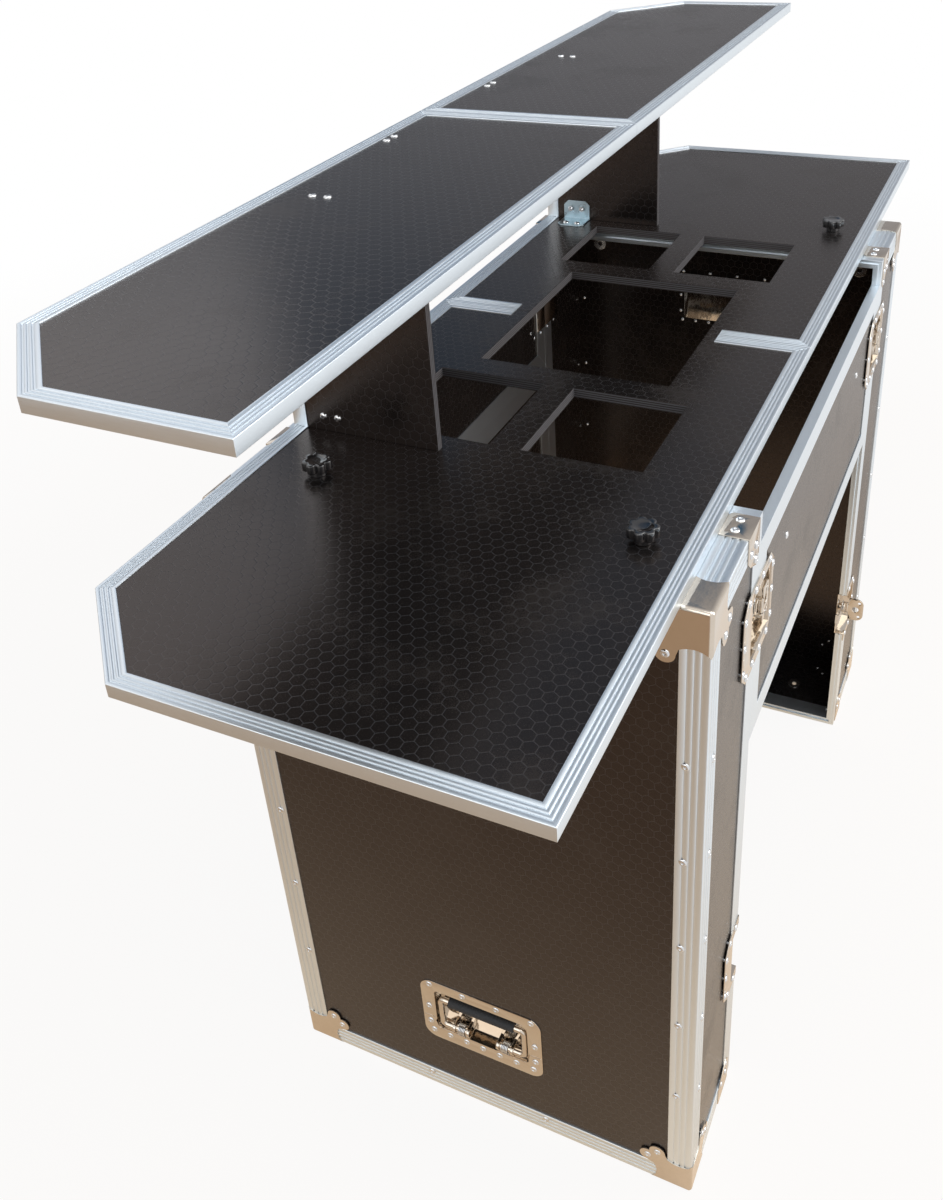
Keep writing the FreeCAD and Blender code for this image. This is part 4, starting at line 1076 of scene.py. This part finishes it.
def rounded_solid(solid, corner, inward, radius, cuts):
    """Bmesh of a CAD solid with extra cuts near a corner's planes, rounded there."""
    part = solid_mesh(solid)
    for axis in range(3):
        for step in range(1, cuts + 1):
            place = Vector(corner)
            place[axis] += inward[axis] * radius * step / cuts
            normal = Vector((0, 0, 0))
            normal[axis] = 1
            everything = part.verts[:] + part.edges[:] + part.faces[:]
            bmesh.ops.bisect_plane(part, geom=everything, plane_co=place, plane_no=normal)
    for vertex in part.verts:
        vertex.co = rounded_box_point(vertex.co, corner, inward, radius)
    return part


def make_caps(material):
    """Pressed corner caps with rounded edges."""
    target = bmesh.new()
    whole_low, whole_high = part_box("corner_caps")
    centre = (whole_low + whole_high) / 2
    for solid in node_solids("corner_caps"):
        low, high = solid_box(solid)
        middle = (low + high) / 2
        sides = [1 if middle[axis] > centre[axis] else -1 for axis in range(3)]
        corner = [high[axis] if sides[axis] > 0 else low[axis] for axis in range(3)]
        inward = [-side for side in sides]
        take_in(target, rounded_solid(solid, corner, inward, cap_round, 5), 0)
    return finish_piece("pressed_corner_caps", target, [material], "root",
                        ["corner_caps"], 35)


def make_grip(node, material):
    """Rubber sleeve with soft ends and faint moulded rings."""
    low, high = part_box(node)
    middle = (low + high) / 2
    length = high.y - low.y
    radius = (high.z - low.z) / 2
    matrix = turn_to((0, 1, 0), (middle.x, low.y, middle.z))
    profile = [(grip_bore, 0)]
    profile += [(radius - inset * MM, height * MM) for inset, height in grip_end]
    run = (length - 2 * grip_margin) / grip_rings
    for step in range(grip_rings):
        start = grip_margin + run * step
        profile += [(radius, start), (radius, start + run * 0.6),
                    (radius - grip_dip, start + run * 0.7), (radius - grip_dip, start + run * 0.9)]
    profile += [(radius - inset * MM, length - height * MM)
                for inset, height in reversed(grip_end)]
    profile += [(grip_bore, length), (grip_bore, 0)]
    target = bmesh.new()
    add_lathe(target, profile, 32, matrix)
    bmesh.ops.remove_doubles(target, verts=target.verts, dist=1e-6)
    return finish_piece(node + "_sleeve", target, [material], body_of[node], [node], 50)


def paint(name, material):
    """One material on a CAD node that keeps its own mesh."""
    mesh = nodes[name].data
    mesh.materials.clear()
    mesh.materials.append(material)


def main():
    """Make every piece."""
    bpy.context.scene.view_settings.view_transform = "Standard"
    make_camera()
    make_world()
    make_floor()
    for lamp in lamps:
        area_light(*lamp)
    made = make_materials()
    profiles = [made["profile_x"], made["profile_y"], made["profile_z"]]
    chrome = [made["chrome"]]
    steel = [made["steel"]]
    soft = {name: ([made["film_x"]], board_edge) for name in ("near_end_wall", "far_end_wall",
                                                              "near_fin", "far_fin")}
    for name in ("near_side_walls", "far_side_walls", "back_panel", "front_top_panel",
                 "front_middle_panel", "front_bottom_panel"):
        soft[name] = ([made["film_y"]], board_edge)
    for name in ("near_top_and_bottom_walls", "far_top_and_bottom_walls", "near_worktop",
                 "far_worktop", "near_counter", "far_counter"):
        soft[name] = ([made["film_z"]], board_edge)
    soft["rim_profiles"] = (profiles, profile_edge)
    soft["panel_edging"] = (profiles, profile_edge)
    soft["corner_braces"] = (chrome, brace_edge)
    soft["latch_dishes"] = (chrome, latch_edge)
    soft["latch_strikes"] = (chrome, latch_edge)
    soft["latch_hooks"] = (steel, small_edge)
    soft["t_nuts"] = (steel, small_edge)
    soft["near_brackets"] = ([made["zinc"]], bracket_edge)
    soft["far_brackets"] = ([made["zinc"]], bracket_edge)
    for name in nodes:
        if name.endswith(("_cam", "_wing")):
            soft[name] = (chrome, small_edge)
        if name.endswith("_bail"):
            paint(name, made["chrome"])
    paint("handle_springs", made["steel"])
    for name, (materials, width) in soft.items():
        make_soft(name, materials, width, 30 if materials is chrome else 12)
    make_dishes(made["chrome"])
    make_angles(profiles)
    make_edging("near", 1, profiles)
    make_edging("far", -1, profiles)
    make_rivets(made["steel"])
    make_bolts("near", made["steel"])
    make_bolts("far", made["steel"])
    make_caps(made["chrome"])
    for name in nodes:
        if name.endswith("_knob"):
            make_knob(name, [made["knob"], made["steel"]])
        if name.endswith("_grip"):
            make_grip(name, made["rubber"])


main()
